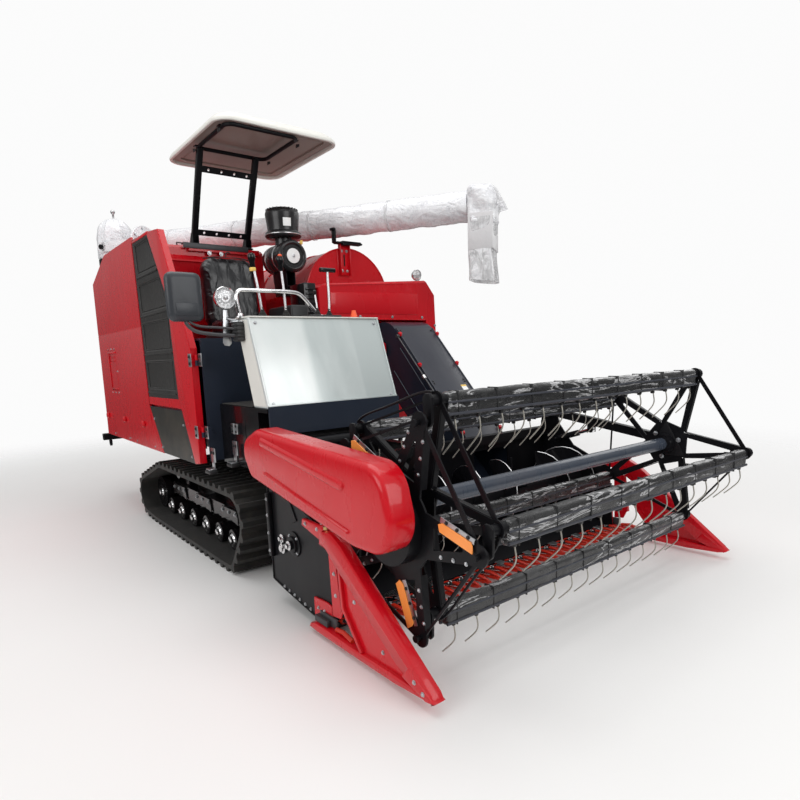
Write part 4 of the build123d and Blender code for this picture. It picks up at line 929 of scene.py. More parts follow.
def makeLevers():
    stems, knobs, boots, red = [], [], [], []
    heads = {}
    for name, foot, head in (("left", (1.060, -0.618), (1.042, -0.646, 1.716)),
                             ("middle", (1.060, -0.482), (1.042, -0.487, 1.712)),
                             ("tee", (1.060, -0.213), (1.042, -0.199, 1.682)),
                             ("small", (1.100, -0.312), (1.082, -0.312, 1.560))):
        low = Vector((*foot, dash["top"] + 0.012))
        high = Vector(head)
        heads[name] = high
        bend = [low, low.lerp(high, 0.45) + Vector((0.006, 0, 0)),
                low.lerp(high, 0.8) - Vector((0.002, 0, 0)), high]
        stems.append(tube("stem", bend, 0.0072 if name != "small" else 0.005, 10, bend=1))
        profile = [(0.030, 0)]
        for k in range(5):  # ribbed rubber boot
            r = 0.027 - k * 0.004
            profile += [(r, 0.005 + k * 0.008), (r - 0.006, 0.009 + k * 0.008)]
        boots.append(turned("boot", profile + [(0.008, 0.050)], (foot[0], foot[1], dash["top"] + 0.008),
                            (0, 0, 1), 24))
    joined("leverStems", stems).done(brightSteel, "chassis", stands=["control_levers"],
                                     slot="black_plastic")
    joined("leverBoots", boots).done(rubberBlack, "chassis")
    grip = [(0.013, 0), (0.015, 0.004), (0.014, 0.030), (0.019, 0.048), (0.021, 0.060), (0.017, 0.072),
            (0.008, 0.078)]
    for name in ("left", "middle"):
        knobs.append(turned("grip", grip, heads[name] - Vector((0, 0, 0.052)), (0, -0.05, 1), 20))
    tee = tube("tee", [heads["tee"] + Vector((0, dy, 0)) for dy in (-0.048, -0.02, 0.02, 0.048)], 0.0125,
               14)
    knobs.append(tee.rounded(0.005, 3))
    knobs.append(turned("cap", [(0.008, 0), (0.009, 0.020), (0.005, 0.026)],
                        heads["small"] - Vector((0, 0, 0.020)), (0, 0, 1), 14))
    joined("leverGrips", knobs).done(glossBlack, "chassis")
    collar = turned("leverCollar", [(0.0155, 0), (0.0165, 0.003), (0.0165, 0.014), (0.0150, 0.017)],
                    heads["left"] - Vector((0, 0, 0.064)), (0, -0.05, 1), 20)
    collar.done(yellowPlastic, "chassis")
    button = turned("leverButton", [(0.011, 0), (0.012, 0.004), (0.008, 0.010)],
                    heads["middle"] + Vector((0, 0, 0.024)), (0, 0, 1), 16)
    cap = turned("dashCap", [(0.020, 0), (0.021, 0.004), (0.017, 0.020), (0.013, 0.034), (0.012, 0.044)],
                 (1.075, -0.057, dash["top"] + 0.008), (0, 0, 1), 20)
    joined("dashKnobs", [button, cap]).done(orangePlastic, "chassis")
    panel = box("leverPanel", (1.020, -0.378, dash["top"] + 0.008),
                (1.138, -0.178, dash["top"] + 0.020)).rounded(0.006, 3)
    slotted = [box("gate", (1.030, y - 0.006, dash["top"] + 0.018),
                   (1.128, y + 0.006, dash["top"] + 0.0215)).rounded(0.002) for y in (-0.345, -0.278)]
    joined("leverPanels", [panel] + slotted).done(blackPlastic, "chassis")
    rail = tube("dashRail", [(1.062, -0.742, 1.415), (1.062, -0.762, 1.500), (1.062, -0.748, 1.552),
                             (1.062, -0.690, 1.553), (1.062, -0.560, 1.553), (1.062, -0.430, 1.553),
                             (1.062, -0.385, 1.540), (1.062, -0.330, 1.480), (1.062, -0.272, 1.418)],
                0.0105, 12, bend=1)
    rail.done(chrome, "chassis", slot="chrome", stands=["handrail"])
    feet = [turned("foot", [(0.024, 0), (0.024, 0.005), (0.0145, 0.009), (0.0140, 0.020)],
                   (1.062, y, dash["top"] + 0.006), (0, 0, 1), 20) for y in (-0.742, -0.268)]
    joined("railFeet", feet).done(chrome, "chassis")


mirror = {"y": -0.995, "z": 1.515, "wide": 0.0875, "tall": 0.1175, "corner": 0.034}


def makeMirror():
    middleY, middleZ, corner = mirror["y"], mirror["z"], mirror["corner"]

    def ring(share):
        wide, tall, points = mirror["wide"] - corner, mirror["tall"] - corner, []
        for cx, cz, start in ((wide, tall, 0), (-wide, tall, 90), (-wide, -tall, 180),
                              (wide, -tall, 270)):
            turns = [math.radians(start + 22.5 * k) for k in range(5)]
            points += [(middleY + (cx + corner * math.cos(a)) * share,
                        middleZ + (cz + corner * math.sin(a)) * share) for a in turns]
        return points

    shell = plate("mirrorShell", ring(1.0), "x", 0.990, 1.004)
    shell.faces(lambda c, n: n.x > 0.9).extrude(0.010, 0, 0)
    shell.swell(1, 0.93, 0.95, (1.014, middleY, middleZ))
    shell.extrude(0.008, 0, 0).swell(1, 0.84, 0.88, (1.022, middleY, middleZ))
    shell.inset(0.012)
    shell.shift(0.0015, 0, 0)
    shell.outward().rounded(0.0025, 2, 25).done(softPlastic, "chassis", 40, slot="black_plastic",
                                                stands=["mirror_and_arm"])
    bezel = plate("mirrorRim", ring(1.0), "x", 0.986, 0.992).rounded(0.002)
    panel = plate("panel", [(middleY + sy * 0.052, 1.455 + sz * 0.030)
                            for sy, sz in ((-1, -1), (1, -1), (1, 1), (-1, 1))], "x", 1.0235,
                  1.0262).rounded(0.0022, 2)
    joined("mirrorTrim", [bezel, panel]).done(softPlastic, "chassis")
    glass = plate("mirrorGlass", ring(0.93), "x", 0.9845, 0.9862).rounded(0.0006, 1)
    glass.done(chrome, "chassis", slot="bright_steel")
    upper = tube("upperArm", [(1.004, -0.985, 1.400), (1.010, -0.958, 1.372), (1.050, -0.830, 1.366),
                              (1.072, -0.772, 1.358)], 0.0065, 10, bend=1)
    lower = tube("lowerArm", [(1.000, -1.000, 1.398), (1.004, -0.985, 1.352), (1.040, -0.860, 1.330),
                              (1.072, -0.772, 1.325)], 0.0095, 10, bend=1)
    joined("mirrorArms", [upper, lower]).done(castIron, "chassis")
    ribs = [box("rib", (1.034, dash["right"] - 0.044, 1.300 + k * 0.018),
                (1.106, dash["right"] - 0.003, 1.312 + k * 0.018)).rounded(0.004, 2) for k in range(5)]
    core = box("core", (1.038, dash["right"] - 0.040, 1.296),
               (1.102, dash["right"] - 0.001, 1.390)).rounded(0.006)
    joined("mirrorBlock", ribs + [core]).done(blackPlastic, "chassis")


lamp = {"y": -0.800, "z": 1.515, "facets": 12}


def makeLamp():
    y, z = lamp["y"], lamp["z"]
    bowl = turned("lampBowl", [(0.016, -0.066), (0.036, -0.058), (0.047, -0.042), (0.052, -0.020),
                               (0.0545, -0.004), (0.0555, 0.002), (0.053, 0.006), (0.049, 0.004),
                               (0.047, -0.006)], (1.028, y, z), (1, 0, 0), 40)
    bowl.done(chrome, "chassis", 40, slot="bright_steel", stands=["headlamp"])
    lens = turned("lampLens", [(0.0485, 0.0), (0.041, 0.004), (0.028, 0.0075), (0.015, 0.0095),
                               (0.005, 0.010)], (1.022, y, z), (1, 0, 0), 40)
    lens.done(lampGlass, "chassis", 60)
    # facets of the reflector seen through the glass
    facets = []
    for k in range(lamp["facets"]):
        a = math.radians(360 / lamp["facets"] * k)
        for r in (0.017, 0.034):
            facets.append(turned("facet", [(0.0075, 0), (0.005, 0.003)],
                                 (1.0325 - r * 0.16, y + r * math.cos(a), z + r * math.sin(a)), (1, 0, 0),
                                 6))
    facets.append(turned("bulb", [(0.011, 0), (0.012, 0.003), (0.006, 0.007)], (1.033, y, z), (1, 0, 0),
                         12))
    joined("lampFacets", facets).done(brightSteel, "chassis")
    bracket = plate("bracket", [(y - 0.012, z - 0.058), (y + 0.010, z - 0.058), (y + 0.020, z - 0.226),
                                (y + 0.006, z - 0.240), (y - 0.018, z - 0.236), (y - 0.026, z - 0.222)],
                    "x", 1.014, 1.018).rounded(0.001)
    stalk = tube("stalk", [(1.000, y, z - 0.060), (1.004, y, z - 0.090), (1.030, y + 0.012, z - 0.110),
                           (1.055, dash["right"] - 0.010, 1.401)], 0.007, 8, bend=1)
    foot = plate("lampFoot", [(1.026, y + 0.014), (1.030, dash["right"] - 0.001),
                              (1.098, dash["right"] - 0.001), (1.090, y + 0.032), (1.060, y + 0.012)],
                 "z", 1.3925, 1.3985).rounded(0.001)
    joined("lampStalk", [stalk, foot, bracket]).done(zinc, "chassis")
    wire = tube("lampWire", [(0.962, y, z - 0.012), (0.948, y + 0.016, z - 0.050),
                             (0.972, y + 0.030, z - 0.095), (1.010, y + 0.036, z - 0.115),
                             (1.034, dash["right"] - 0.004, 1.392)], 0.0028, 6, bend=1)
    wire.done(blackPlastic, "chassis")


def puffed(piece, voxel, pressure, cap):  # pressed air into a closed shell, each point's way capped
    piece.modify("REMESH", mode="VOXEL", voxel_size=voxel)
    before = [vertex.co.copy() for vertex in piece.thing.data.vertices]
    pick(piece.thing)
    cloth = piece.thing.modifiers.new("cloth", "CLOTH")
    cloth.settings.use_pressure, cloth.settings.uniform_pressure_force = True, pressure
    cloth.settings.effector_weights.gravity = 0
    cloth.settings.tension_stiffness = cloth.settings.compression_stiffness = 12
    cloth.point_cache.frame_start, cloth.point_cache.frame_end = 1, 20
    for step in range(1, 21):
        bpy.context.scene.frame_set(step)
    bpy.ops.object.modifier_apply(modifier=cloth.name)
    bpy.context.scene.frame_set(1)
    for vertex, was in zip(piece.thing.data.vertices, before):
        way = vertex.co - was
        if way.length > cap:
            vertex.co = was + way.normalized() * cap
    return piece.smoothed()


seat = {"padX": (0.122, 0.508), "padY": (-0.568, -0.162), "padZ": (1.374, 1.452),
        "foot": (0.108, -0.350, 1.3875), "lean": 0.12, "voxel": 0.006, "pressure": 4}


def makeSeat():
    x, y, z = seat["padX"], seat["padY"], seat["padZ"]
    pad = box("seatPad", *zip(x, y, z))
    pad.edges(lambda a, b: abs(a.z - b.z) > 0.01).bevel(0.060, 4)
    pad.rounded(0.018, 3)
    pad = puffed(pad, seat["voxel"], seat["pressure"], 0.014)
    # tucked front and gathered corners: points close to each corner are drawn in and down
    for p in pad.points():
        for cx in x:
            for cy in y:
                near = max(0, 1 - (p.xy - Vector((cx, cy))).length / 0.14)
                wave = math.sin(math.atan2(p.y - cy, p.x - cx) * 22)
                p.z += near ** 2 * (0.0035 * wave - 0.010)
        p.z = max(p.z, z[0])
    pad.done(seatCover, "chassis", 180, slot="vinyl", stands=["seat_cushion"])
    lean = math.atan(seat["lean"])
    back = box("seatBack", (-0.104, -0.200, 0.014), (-0.012, 0.200, 0.515))
    back.edges(lambda a, b: abs(a.x - b.x) > 0.01).bevel(0.095, 5)
    back.rounded(0.026, 3)
    back = puffed(back, seat["voxel"], seat["pressure"], 0.016)
    for p in back.points():  # loose cover: folds pulled across and gathered at the top
        near = max(0, (p.z - 0.30) / 0.22)
        p.x += math.sin(p.y * 75 + p.z * 9) * 0.0035 * near + math.sin(p.z * 42 + p.y * 13) * 0.0022
        p.y *= 1 - 0.05 * near
    back.placed(Matrix.Translation(seat["foot"]) @ Matrix.Rotation(-lean, 4, "Y"))
    back.done(seatCover, "chassis", 180, slot="vinyl", stands=["seat_back"])
    cords = [tube("cord", [(0.05 + dx, -0.545 + dy, 1.862), (0.03 + dx, -0.45, 1.885),
                           (0.02 + dx, -0.365, 1.880 - dy), (0.03 + dx, -0.28, 1.887),
                           (0.05 + dx, -0.185, 1.862)], 0.0022, 6, bend=1)
             for dx, dy in ((0.030, 0.0), (0.018, 0.012))]
    hook = tube("hook", [(0.030, -0.365, 1.890), (0.030, -0.365, 1.912), (0.040, -0.352, 1.922),
                         (0.050, -0.340, 1.912)], 0.004, 8, bend=1)
    joined("seatCords", cords + [hook]).done(blackPlastic, "chassis")
    base = fromNode("seatBox", "seat_base").rounded(0.01, 3)
    base.done(blackPlastic, "chassis", slot="black_plastic", stands=["seat_base"])
    console = box("sideConsole", (0.120, -0.128, 1.3335), (0.460, 0.002, 1.548)).rounded(0.016, 3)
    console.done(blackPlastic, "chassis")
    shroud = [box("shroud", (0.200, 0.008, 1.3335), (0.400, 0.100, 1.700)).rounded(0.008, 2)]
    shroud += [box("grill", (0.398, 0.018, 1.380 + 0.030 * k),
                   (0.406, 0.090, 1.396 + 0.030 * k)).rounded(0.003) for k in range(10)]
    joined("fanShroud", shroud).done(glossBlack, "chassis")
    springs = [box("slide", (-0.005, yy - 0.016, 1.332), (0.470, yy + 0.016, 1.352)).rounded(0.004)
               for yy in (-0.500, -0.230)]
    joined("seatSlides", springs).done(castIron, "chassis")


def makeWall():
    rail = box("wallRail", (-0.262, -0.557, 2.000), (-0.218, -0.086, 2.012)).rounded(0.004)
    lip = box("wallLip", (-0.222, -0.557, 1.975), (-0.214, -0.086, 2.012)).rounded(0.003)
    joined("wallRails", [rail, lip]).done(castIron, "chassis")
    hexBolts("wallBolts", [((-0.2185, y, 1.951), (1, 0, 0)) for y in (-0.378, -0.293)], 0.011, "chassis",
             zinc)
    # pressed panel behind the seat and floor mat
    press = box("wallPress", (-0.2495, -0.700, 1.420), (-0.2465, -0.060, 1.930)).rounded(0.001)
    press.faces(lambda c, n: n.x > 0.9).inset(0.045)
    press.shift(0.006, 0, 0)
    press.rounded(0.004, 2, 20).done(redPaint, "chassis")
    mat = box("floorMat", (0.712, -0.742, 0.9605), (1.120, 0.030, 0.966))
    mat.cut((0.9, 0, 0), (1, 0, 0))
    mat.rounded(0.002).done(rubberBlack, "chassis")
    ridges = [box("ridge", (0.730, y, 0.965), (1.105, y + 0.010, 0.968))
              for y in [-0.720 + 0.035 * k for k in range(21)]]
    joined("matRidges", ridges).done(rubberBlack, "chassis")


def lens():
    f = Finish("lampGlass", shine=0.8, coatRough=0.03)
    ribs = f.waves(34, "Y") * 0.5 + f.cells(120) * 0.5
    f.give("color", f.blend(ribs, (0.55, 0.57, 0.58),
                            (0.90, 0.91, 0.92))).give("rough", 0.08).give("coat", 1.0)
    f.give("metal", 0.35)
    return f.give("normal", f.bump(ribs, 0.8, 0.002)).material


lampGlass = lens()
makeDash()
makeLevers()
makeMirror()
makeLamp()
makeSeat()
makeWall()
print("driver's station dressed")


# Above the deck: canopy, air cleaner, drum hoops, hood trim, cradle and the wrapped unloading auger.
roof = {"x": (-0.530, 0.455), "y": (-0.522, 0.332), "low": 2.600, "corner": 0.115, "frameZ": 2.586,
        "postsY": (-0.450, -0.060), "foot": (-0.300, 2.030), "head": (-0.041, 2.580),
        "frame": (-0.070, 0.425), "frameY": (-0.455, 0.020)}


def roundedRing(xs, ys, corner, share=1.0, steps=6):
    cx, cy = sum(xs) / 2, sum(ys) / 2
    wide, tall = (xs[1] - xs[0]) / 2, (ys[1] - ys[0]) / 2
    points = []
    for sx, sy, start in ((1, 1, 0), (-1, 1, 90), (-1, -1, 180), (1, -1, 270)):
        for k in range(steps + 1):
            a = math.radians(start + 90 * k / steps)
            points.append((cx + (sx * (wide - corner) + corner * math.cos(a)) * share,
                           cy + (sy * (tall - corner) + corner * math.sin(a)) * share))
    return points


def makeCanopy():
    low, centre = roof["low"], (sum(roof["x"]) / 2, sum(roof["y"]) / 2, 0)
    shell = plate("canopyShell", roundedRing(roof["x"], roof["y"], roof["corner"]), "z", low, low + 0.012)
    shell.faces(lambda c, n: n.z > 0.9)
    before = 1.0
    for rise, share in ((0.010, 0.992), (0.012, 0.972), (0.016, 0.935), (0.012, 0.90), (0.008, 0.82),
                        (0.008, 0.70), (0.004, 0.45), (0.001, 0.2)):
        shell.extrude(0, 0, rise)
        shell.swell(share / before, share / before, 1, centre)
        before = share
    shell.faces(lambda c, n: n.z < -0.9).inset(0.020)
    shell.extrude(0, 0, 0.030)
    shell.outward().rounded(0.004, 3, 30)
    shell.done(creamPaint, "chassis", 50, slot="cream_paint", stands=["canopy_roof"])
    lining = plate("canopyLining", roundedRing([roof["x"][0] + 0.028, roof["x"][1] - 0.028],
                                               [roof["y"][0] + 0.028, roof["y"][1] - 0.028], 0.085), "z",
                   low + 0.0165, low + 0.034)
    lining.faces(lambda c, n: n.z < -0.9).inset(0.050)
    lining.extrude(0, 0, 0.012).inset(0.022)
    lining.extrude(0, 0, -0.006)
    lining.rounded(0.004, 3, 25).done(underCanopy, "chassis", 50, slot="cream_paint")


def makeCanopyPosts():
    (fx, fz), (hx, hz) = roof["foot"], roof["head"]
    along = Vector((hx - fx, 0, hz - fz))
    aim = along.normalized()
    parts = []
    for y in roof["postsY"]:
        post = box("post", (-0.019, -0.019, 0), (0.019, 0.019, along.length)).rounded(0.005, 3)
        parts.append(post.placed(setDown((fx, y, fz), aim, math.pi / 2)))
        foot = box("foot", (fx - 0.048, y - 0.032, 2.0054), (fx + 0.048, y + 0.032, 2.013)).rounded(0.003)
        web = plate("web", [(fx - 0.040, 2.012), (fx + 0.040, 2.012), (fx + 0.045, 2.075),
                            (fx + 0.012, 2.090)], "y", y - 0.022, y - 0.018)
        parts += [foot, web.rounded(0.001, 1), web.twin("webOther", Matrix.Translation((0, 0.040, 0)))]
    # cross members are flat strips with four holes each
    width = roof["postsY"][1] - roof["postsY"][0]
    for z in (2.092, 2.462):
        share = (z - fz) / (hz - fz)
        x = fx + along.x * share
        strip = box("strip", (-0.003, -width / 2, -0.020), (0.003, width / 2, 0.020)).rounded(0.0012, 1)
        for y in (-0.135, -0.045, 0.045, 0.135):
            strip.less(turned("drill", [(0.0085, -0.02), (0.0085, 0.02)], (0, y, 0), (1, 0, 0), 12))
        turn = Matrix.Rotation(math.atan2(along.x, along.z), 4, "Y")
        parts.append(strip.placed(Matrix.Translation((x + 0.018, sum(roof["postsY"]) / 2, z)) @ turn))
    # bent tube frame under the roof, from the post heads forward
    ring = roundedRing(roof["frame"], roof["frameY"], 0.050, steps=5)
    loop = tube("loop", [(a, b, roof["frameZ"]) for a, b in ring + ring[:1]], 0.0125, 12)
    tabs = [box("tab", (x - 0.022, y - 0.018, 2.588), (x + 0.022, y + 0.018, 2.594)).rounded(0.003)
            for x, y in ((0.348, -0.462), (0.358, 0.030), (-0.040, 0.030), (-0.060, -0.462))]
    joined("canopyPosts", parts + [loop] + tabs).done(blackPaint, "chassis", slot="black_paint",
                                                             stands=["canopy_posts"])
    knobs = []
    for x, y in ((0.348, -0.474), (0.359, 0.048), (-0.047, 0.040), (-0.068, -0.478)):
        knobs.append(turned("knob", [(0.010, 0), (0.010, 0.006), (0.007, 0.008), (0.007, 0.014)],
                            (x, y, 2.5725), (0, 0, -1), 10))
        knobs.append(box("wing", (x - 0.022, y - 0.003, 2.556),
                         (x + 0.022, y + 0.003, 2.572)).rounded(0.0028, 2))
    joined("canopyKnobs", knobs).done(blackPlastic, "chassis")
    spots = [((roof["foot"][0] + dx, y + dy, 2.013), (0, 0, 1)) for y in roof["postsY"]
             for dx in (-0.034, 0.034) for dy in (-0.026, 0.026)]
    hexBolts("postBolts", spots, 0.007, "chassis", zinc)


cleaner = {"axis": (0.060, 1.905), "bowlX": 0.060, "ribs": 24, "beads": 28}


def makeCleaner():
    y, z = cleaner["axis"]
    can = turned("can", [(0.060, 0), (0.080, 0.003), (0.096, 0.016), (0.100, 0.034), (0.100, 0.120),
                         (0.1015, 0.124), (0.1015, 0.132), (0.100, 0.136), (0.100, 0.256), (0.107, 0.262),
                         (0.110, 0.268), (0.110, 0.296), (0.106, 0.302), (0.098, 0.312), (0.088, 0.316),
                         (0.080, 0.312), (0.076, 0.304), (0.058, 0.304), (0.052, 0.310), (0.048, 0.310)],
                 (-0.120, y, z), (1, 0, 0), 48)
    bowl = turned("bowl", [(0.060, 1.980), (0.060, 2.034), (0.112, 2.038), (0.124, 2.046), (0.127, 2.056),
                           (0.127, 2.066), (0.120, 2.076), (0.108, 2.084), (0.108, 2.098), (0.114, 2.160),
                           (0.118, 2.196), (0.1165, 2.208), (0.108, 2.224), (0.092, 2.234),
                           (0.060, 2.241), (0.020, 2.244)], (cleaner["bowlX"], y, 0), (0, 0, 1), 48)
    ribs = []
    for k in range(cleaner["ribs"]):
        a = math.radians(360 / cleaner["ribs"] * k)
        turn = Matrix.Translation((cleaner["bowlX"], y, 0)) @ Matrix.Rotation(a, 4, "Z")
        ribs.append(box("rib", (0.085, -0.0022, 2.222), (0.112, 0.0022, 2.2315)).placed(turn))
    hose = tube("hose", [(-0.060, y, z - 0.060), (-0.062, y, 1.780), (-0.050, y + 0.004, 1.712),
                         (-0.010, y + 0.045, 1.682), (0.0, y + 0.096, 1.680)], 0.036, 20, bend=1)
    neck = box("neck", (-0.058, 0.022, 1.645), (0.056, 0.156, 1.702)).rounded(0.012, 3)
    joined("cleanerBody", [can, bowl, hose, neck] + ribs).done(cleanerBlack, "chassis", 40,
                                                               slot="black_plastic",
                                                               stands=["air_cleaner"])
    rings = [turned("beadRing", [(0.1272, 0), (0.1290, 0.002), (0.1290, 0.006), (0.1272, 0.008)],
                    (0.060, y, 2.054), (0, 0, 1), 48),
             turned("endNut", [(0.012, 0), (0.012, 0.006), (0.006, 0.007), (0.006, 0.012)], (0.190, y, z),
                    (1, 0, 0), 6)]
    rings += [turned("strap", [(0.1012, 0), (0.1022, 0.001), (0.1022, 0.013), (0.1012, 0.014)], (x, y, z),
                     (1, 0, 0), 48) for x in (-0.060, 0.055)]
    for k in range(cleaner["beads"]):
        a = 2 * math.pi * k / cleaner["beads"]
        rings.append(turned("bead", [(0.0025, 0), (0.0042, 0.002), (0.0025, 0.004)],
                            (0.060 + 0.126 * math.cos(a), y + 0.126 * math.sin(a), 2.058),
                            (math.cos(a), math.sin(a), 0), 6))
    joined("cleanerRings", rings).done(brightSteel, "chassis")
    disc = turned("cleanerDisc", [(0.050, 0), (0.050, 0.0008), (0.0485, 0.0012)], (0.1895, y, z),
                  (1, 0, 0), 36)
    tag = plate("bowlTag", [(0, 2.105), (0.055, 2.105), (0.055, 2.158), (0, 2.158)], "x", 0.0, 0.0005)
    for p in tag.every().split(5).points():  # laid round the bowl
        a, r = math.radians(-12) + (p.y - 0.027) / 0.112, 0.1105 + (p.z - 2.098) * 0.09 + p.x
        p.x, p.y = 0.060 + r * math.cos(a) + 0.0006, y + r * math.sin(a)
    joined("cleanerLabels", [disc, tag]).done(labelWhite, "chassis")
    clipY, clipZ = y + 0.108 * math.cos(0.9), z + 0.108 * math.sin(0.9)
    clip = box("cleanerClips", (0.150, clipY - 0.008, clipZ - 0.008),
               (0.184, clipY + 0.008, clipZ + 0.008))
    clip.rounded(0.003).done(orangePlastic, "chassis")
    yellow = box("cleanerTag", (0.176, y + 0.060, z + 0.082),
                 (0.1935, y + 0.078, z + 0.108)).rounded(0.002)
    yellow.done(yellowPlastic, "chassis")
    bracket = [box("bracket", (-0.056, 0.024, 1.700), (0.136, 0.030, 1.828)).rounded(0.002),
               box("bracket", (-0.056, 0.090, 1.700), (0.136, 0.096, 1.828)).rounded(0.002),
               box("saddle", (-0.056, 0.024, 1.704), (0.136, 0.096, 1.710)).rounded(0.002)]
    joined("cleanerBracket", bracket).done(blackPaint, "chassis")


drum = {"y": 0.590, "z": 1.640, "radius": 0.3725, "hoops": (0.058, -0.30, -0.72, -1.10, -1.396),
        "boltRows": (-0.27, -0.69, -1.07), "hoodFace": 0.4205, "lamp": (0.380, 1.010, 1.800)}


def makeDrumAndHood():
    turns = [math.radians(4 + 172 * k / 28) for k in range(29)]
    hoops = [tube("hoop", [(x, drum["y"] + drum["radius"] * math.cos(a),
                            drum["z"] + drum["radius"] * math.sin(a)) for a in turns], 0.0065, 8)
             for x in drum["hoops"]]
    joined("drumHoops", hoops).done(redPaint, "chassis")
    reach = drum["radius"] + 0.002
    spots = [((x, drum["y"] + reach * math.cos(a), drum["z"] + reach * math.sin(a)),
              (0, math.cos(a), math.sin(a))) for x in drum["boltRows"]
             for a in [math.radians(12 + 26 * k) for k in range(7)]]
    hexBolts("drumBolts", spots, 0.006, "chassis", zinc)
    face = drum["hoodFace"]
    beads = [tube("bead", [(face, 0.116, 1.462), (face, 1.048, 1.462)], 0.005, 8),
             tube("bead", [(face, 0.170, 1.688), (face, 1.050, 1.738)], 0.0035, 8)]
    beads.append(plate("hoodPress", [(0.200, 1.500), (0.980, 1.500), (0.980, 1.655), (0.200, 1.640)], "x",
                       face - 0.001, face + 0.0035).rounded(0.003, 3, 60))
    joined("hoodBeads", beads).done(redPaint, "chassis")
    spots = [((face, yy, zz), (1, 0, 0))
             for yy, zz in ((0.150, 1.480), (0.440, 1.480), (0.730, 1.480), (1.020, 1.480),
                            (1.150, 1.420), (1.152, 1.240), (1.152, 1.090))]
    hexBolts("hoodBolts", spots, 0.008, "chassis", zinc)
    # small work lamp on the hood's left shoulder
    spot = drum["lamp"]
    lamp = turned("hoodLamp", [(0.016, -0.034), (0.030, -0.026), (0.040, -0.008), (0.043, 0.008),
                               (0.040, 0.011), (0.037, 0.004)], spot, (1, 0, -0.15), 28)
    stem = tube("stem", [(0.366, 1.010, 1.738), (0.366, 1.010, 1.785)], 0.006, 8)
    joined("hoodLampBody", [lamp, stem]).done(chrome, "chassis")
    turned("hoodLampGlass", [(0.0375, 0), (0.030, 0.005), (0.012, 0.009)],
           Vector(spot) + Vector((0.003, 0, 0)), (1, 0, -0.15), 28).done(lampGlass, "chassis", 60)


def makeCradle():
    channel = [box("web", (0.070, 0.510, 1.812), (0.076, 0.598, 2.040)).rounded(0.002),
               box("side", (0.062, 0.510, 1.812), (0.100, 0.516, 2.040)).rounded(0.002),
               box("side", (0.062, 0.592, 1.812), (0.100, 0.598, 2.040)).rounded(0.002),
               box("foot", (0.052, 0.500, 1.806), (0.064, 0.608, 2.000)).rounded(0.002)]
    joined("cradlePost", channel).done(redPaint, "chassis", slot="red_paint", stands=["boom_cradle"])
    fork = [box("saddle", (0.062, 0.470, 2.036), (0.118, 0.700, 2.050)).rounded(0.004),
            box("finger", (0.066, 0.455, 2.040), (0.112, 0.470, 2.140)).rounded(0.005),
            box("hook", (0.066, 0.440, 2.128), (0.112, 0.468, 2.146)).rounded(0.005),
            box("clamp", (0.060, 0.520, 2.026), (0.122, 0.588, 2.040)).rounded(0.004)]
    pad = box("pad", (0.064, 0.520, 2.0495), (0.116, 0.690, 2.0580)).rounded(0.004)
    joined("cradleFork", fork + [pad]).done(blackPaint, "chassis")
    # the slot in the channel web is a thin gloss black strip: painted shade standing in for the opening
    box("cradleSlot", (0.0755, 0.548, 1.880),
        (0.0768, 0.560, 1.965)).rounded(0.0005, 1).done(glossBlack, "chassis")
    hexBolts("cradleBolts", [((0.076, y, z), (1, 0, 0)) for y in (0.532, 0.577) for z in (1.845, 1.990)],
             0.008, "chassis", zinc)


boom = {"start": (-1.800, -0.600, 2.200), "end": (0.840, 1.128, 2.220), "gap": 0.300, "radius": 0.105}
boomWay = (Vector(boom["end"]) - Vector(boom["start"])).normalized()
boomTurn = Matrix.Translation(boom["start"]) @ boomWay.to_track_quat("Z", "Y").to_matrix().to_4x4()
boomLong = (Vector(boom["end"]) - Vector(boom["start"])).length
boomFlat = Vector((boomWay.x, boomWay.y, 0)).normalized()
boomSide = Vector((0, 0, 1)).cross(boomFlat)


def crumpled(piece, size, strength):
    cloud = bpy.data.textures.new("crumple", "CLOUDS")
    cloud.noise_scale = size
    return piece.modify("DISPLACE", texture=cloud, strength=strength, mid_level=0.5)


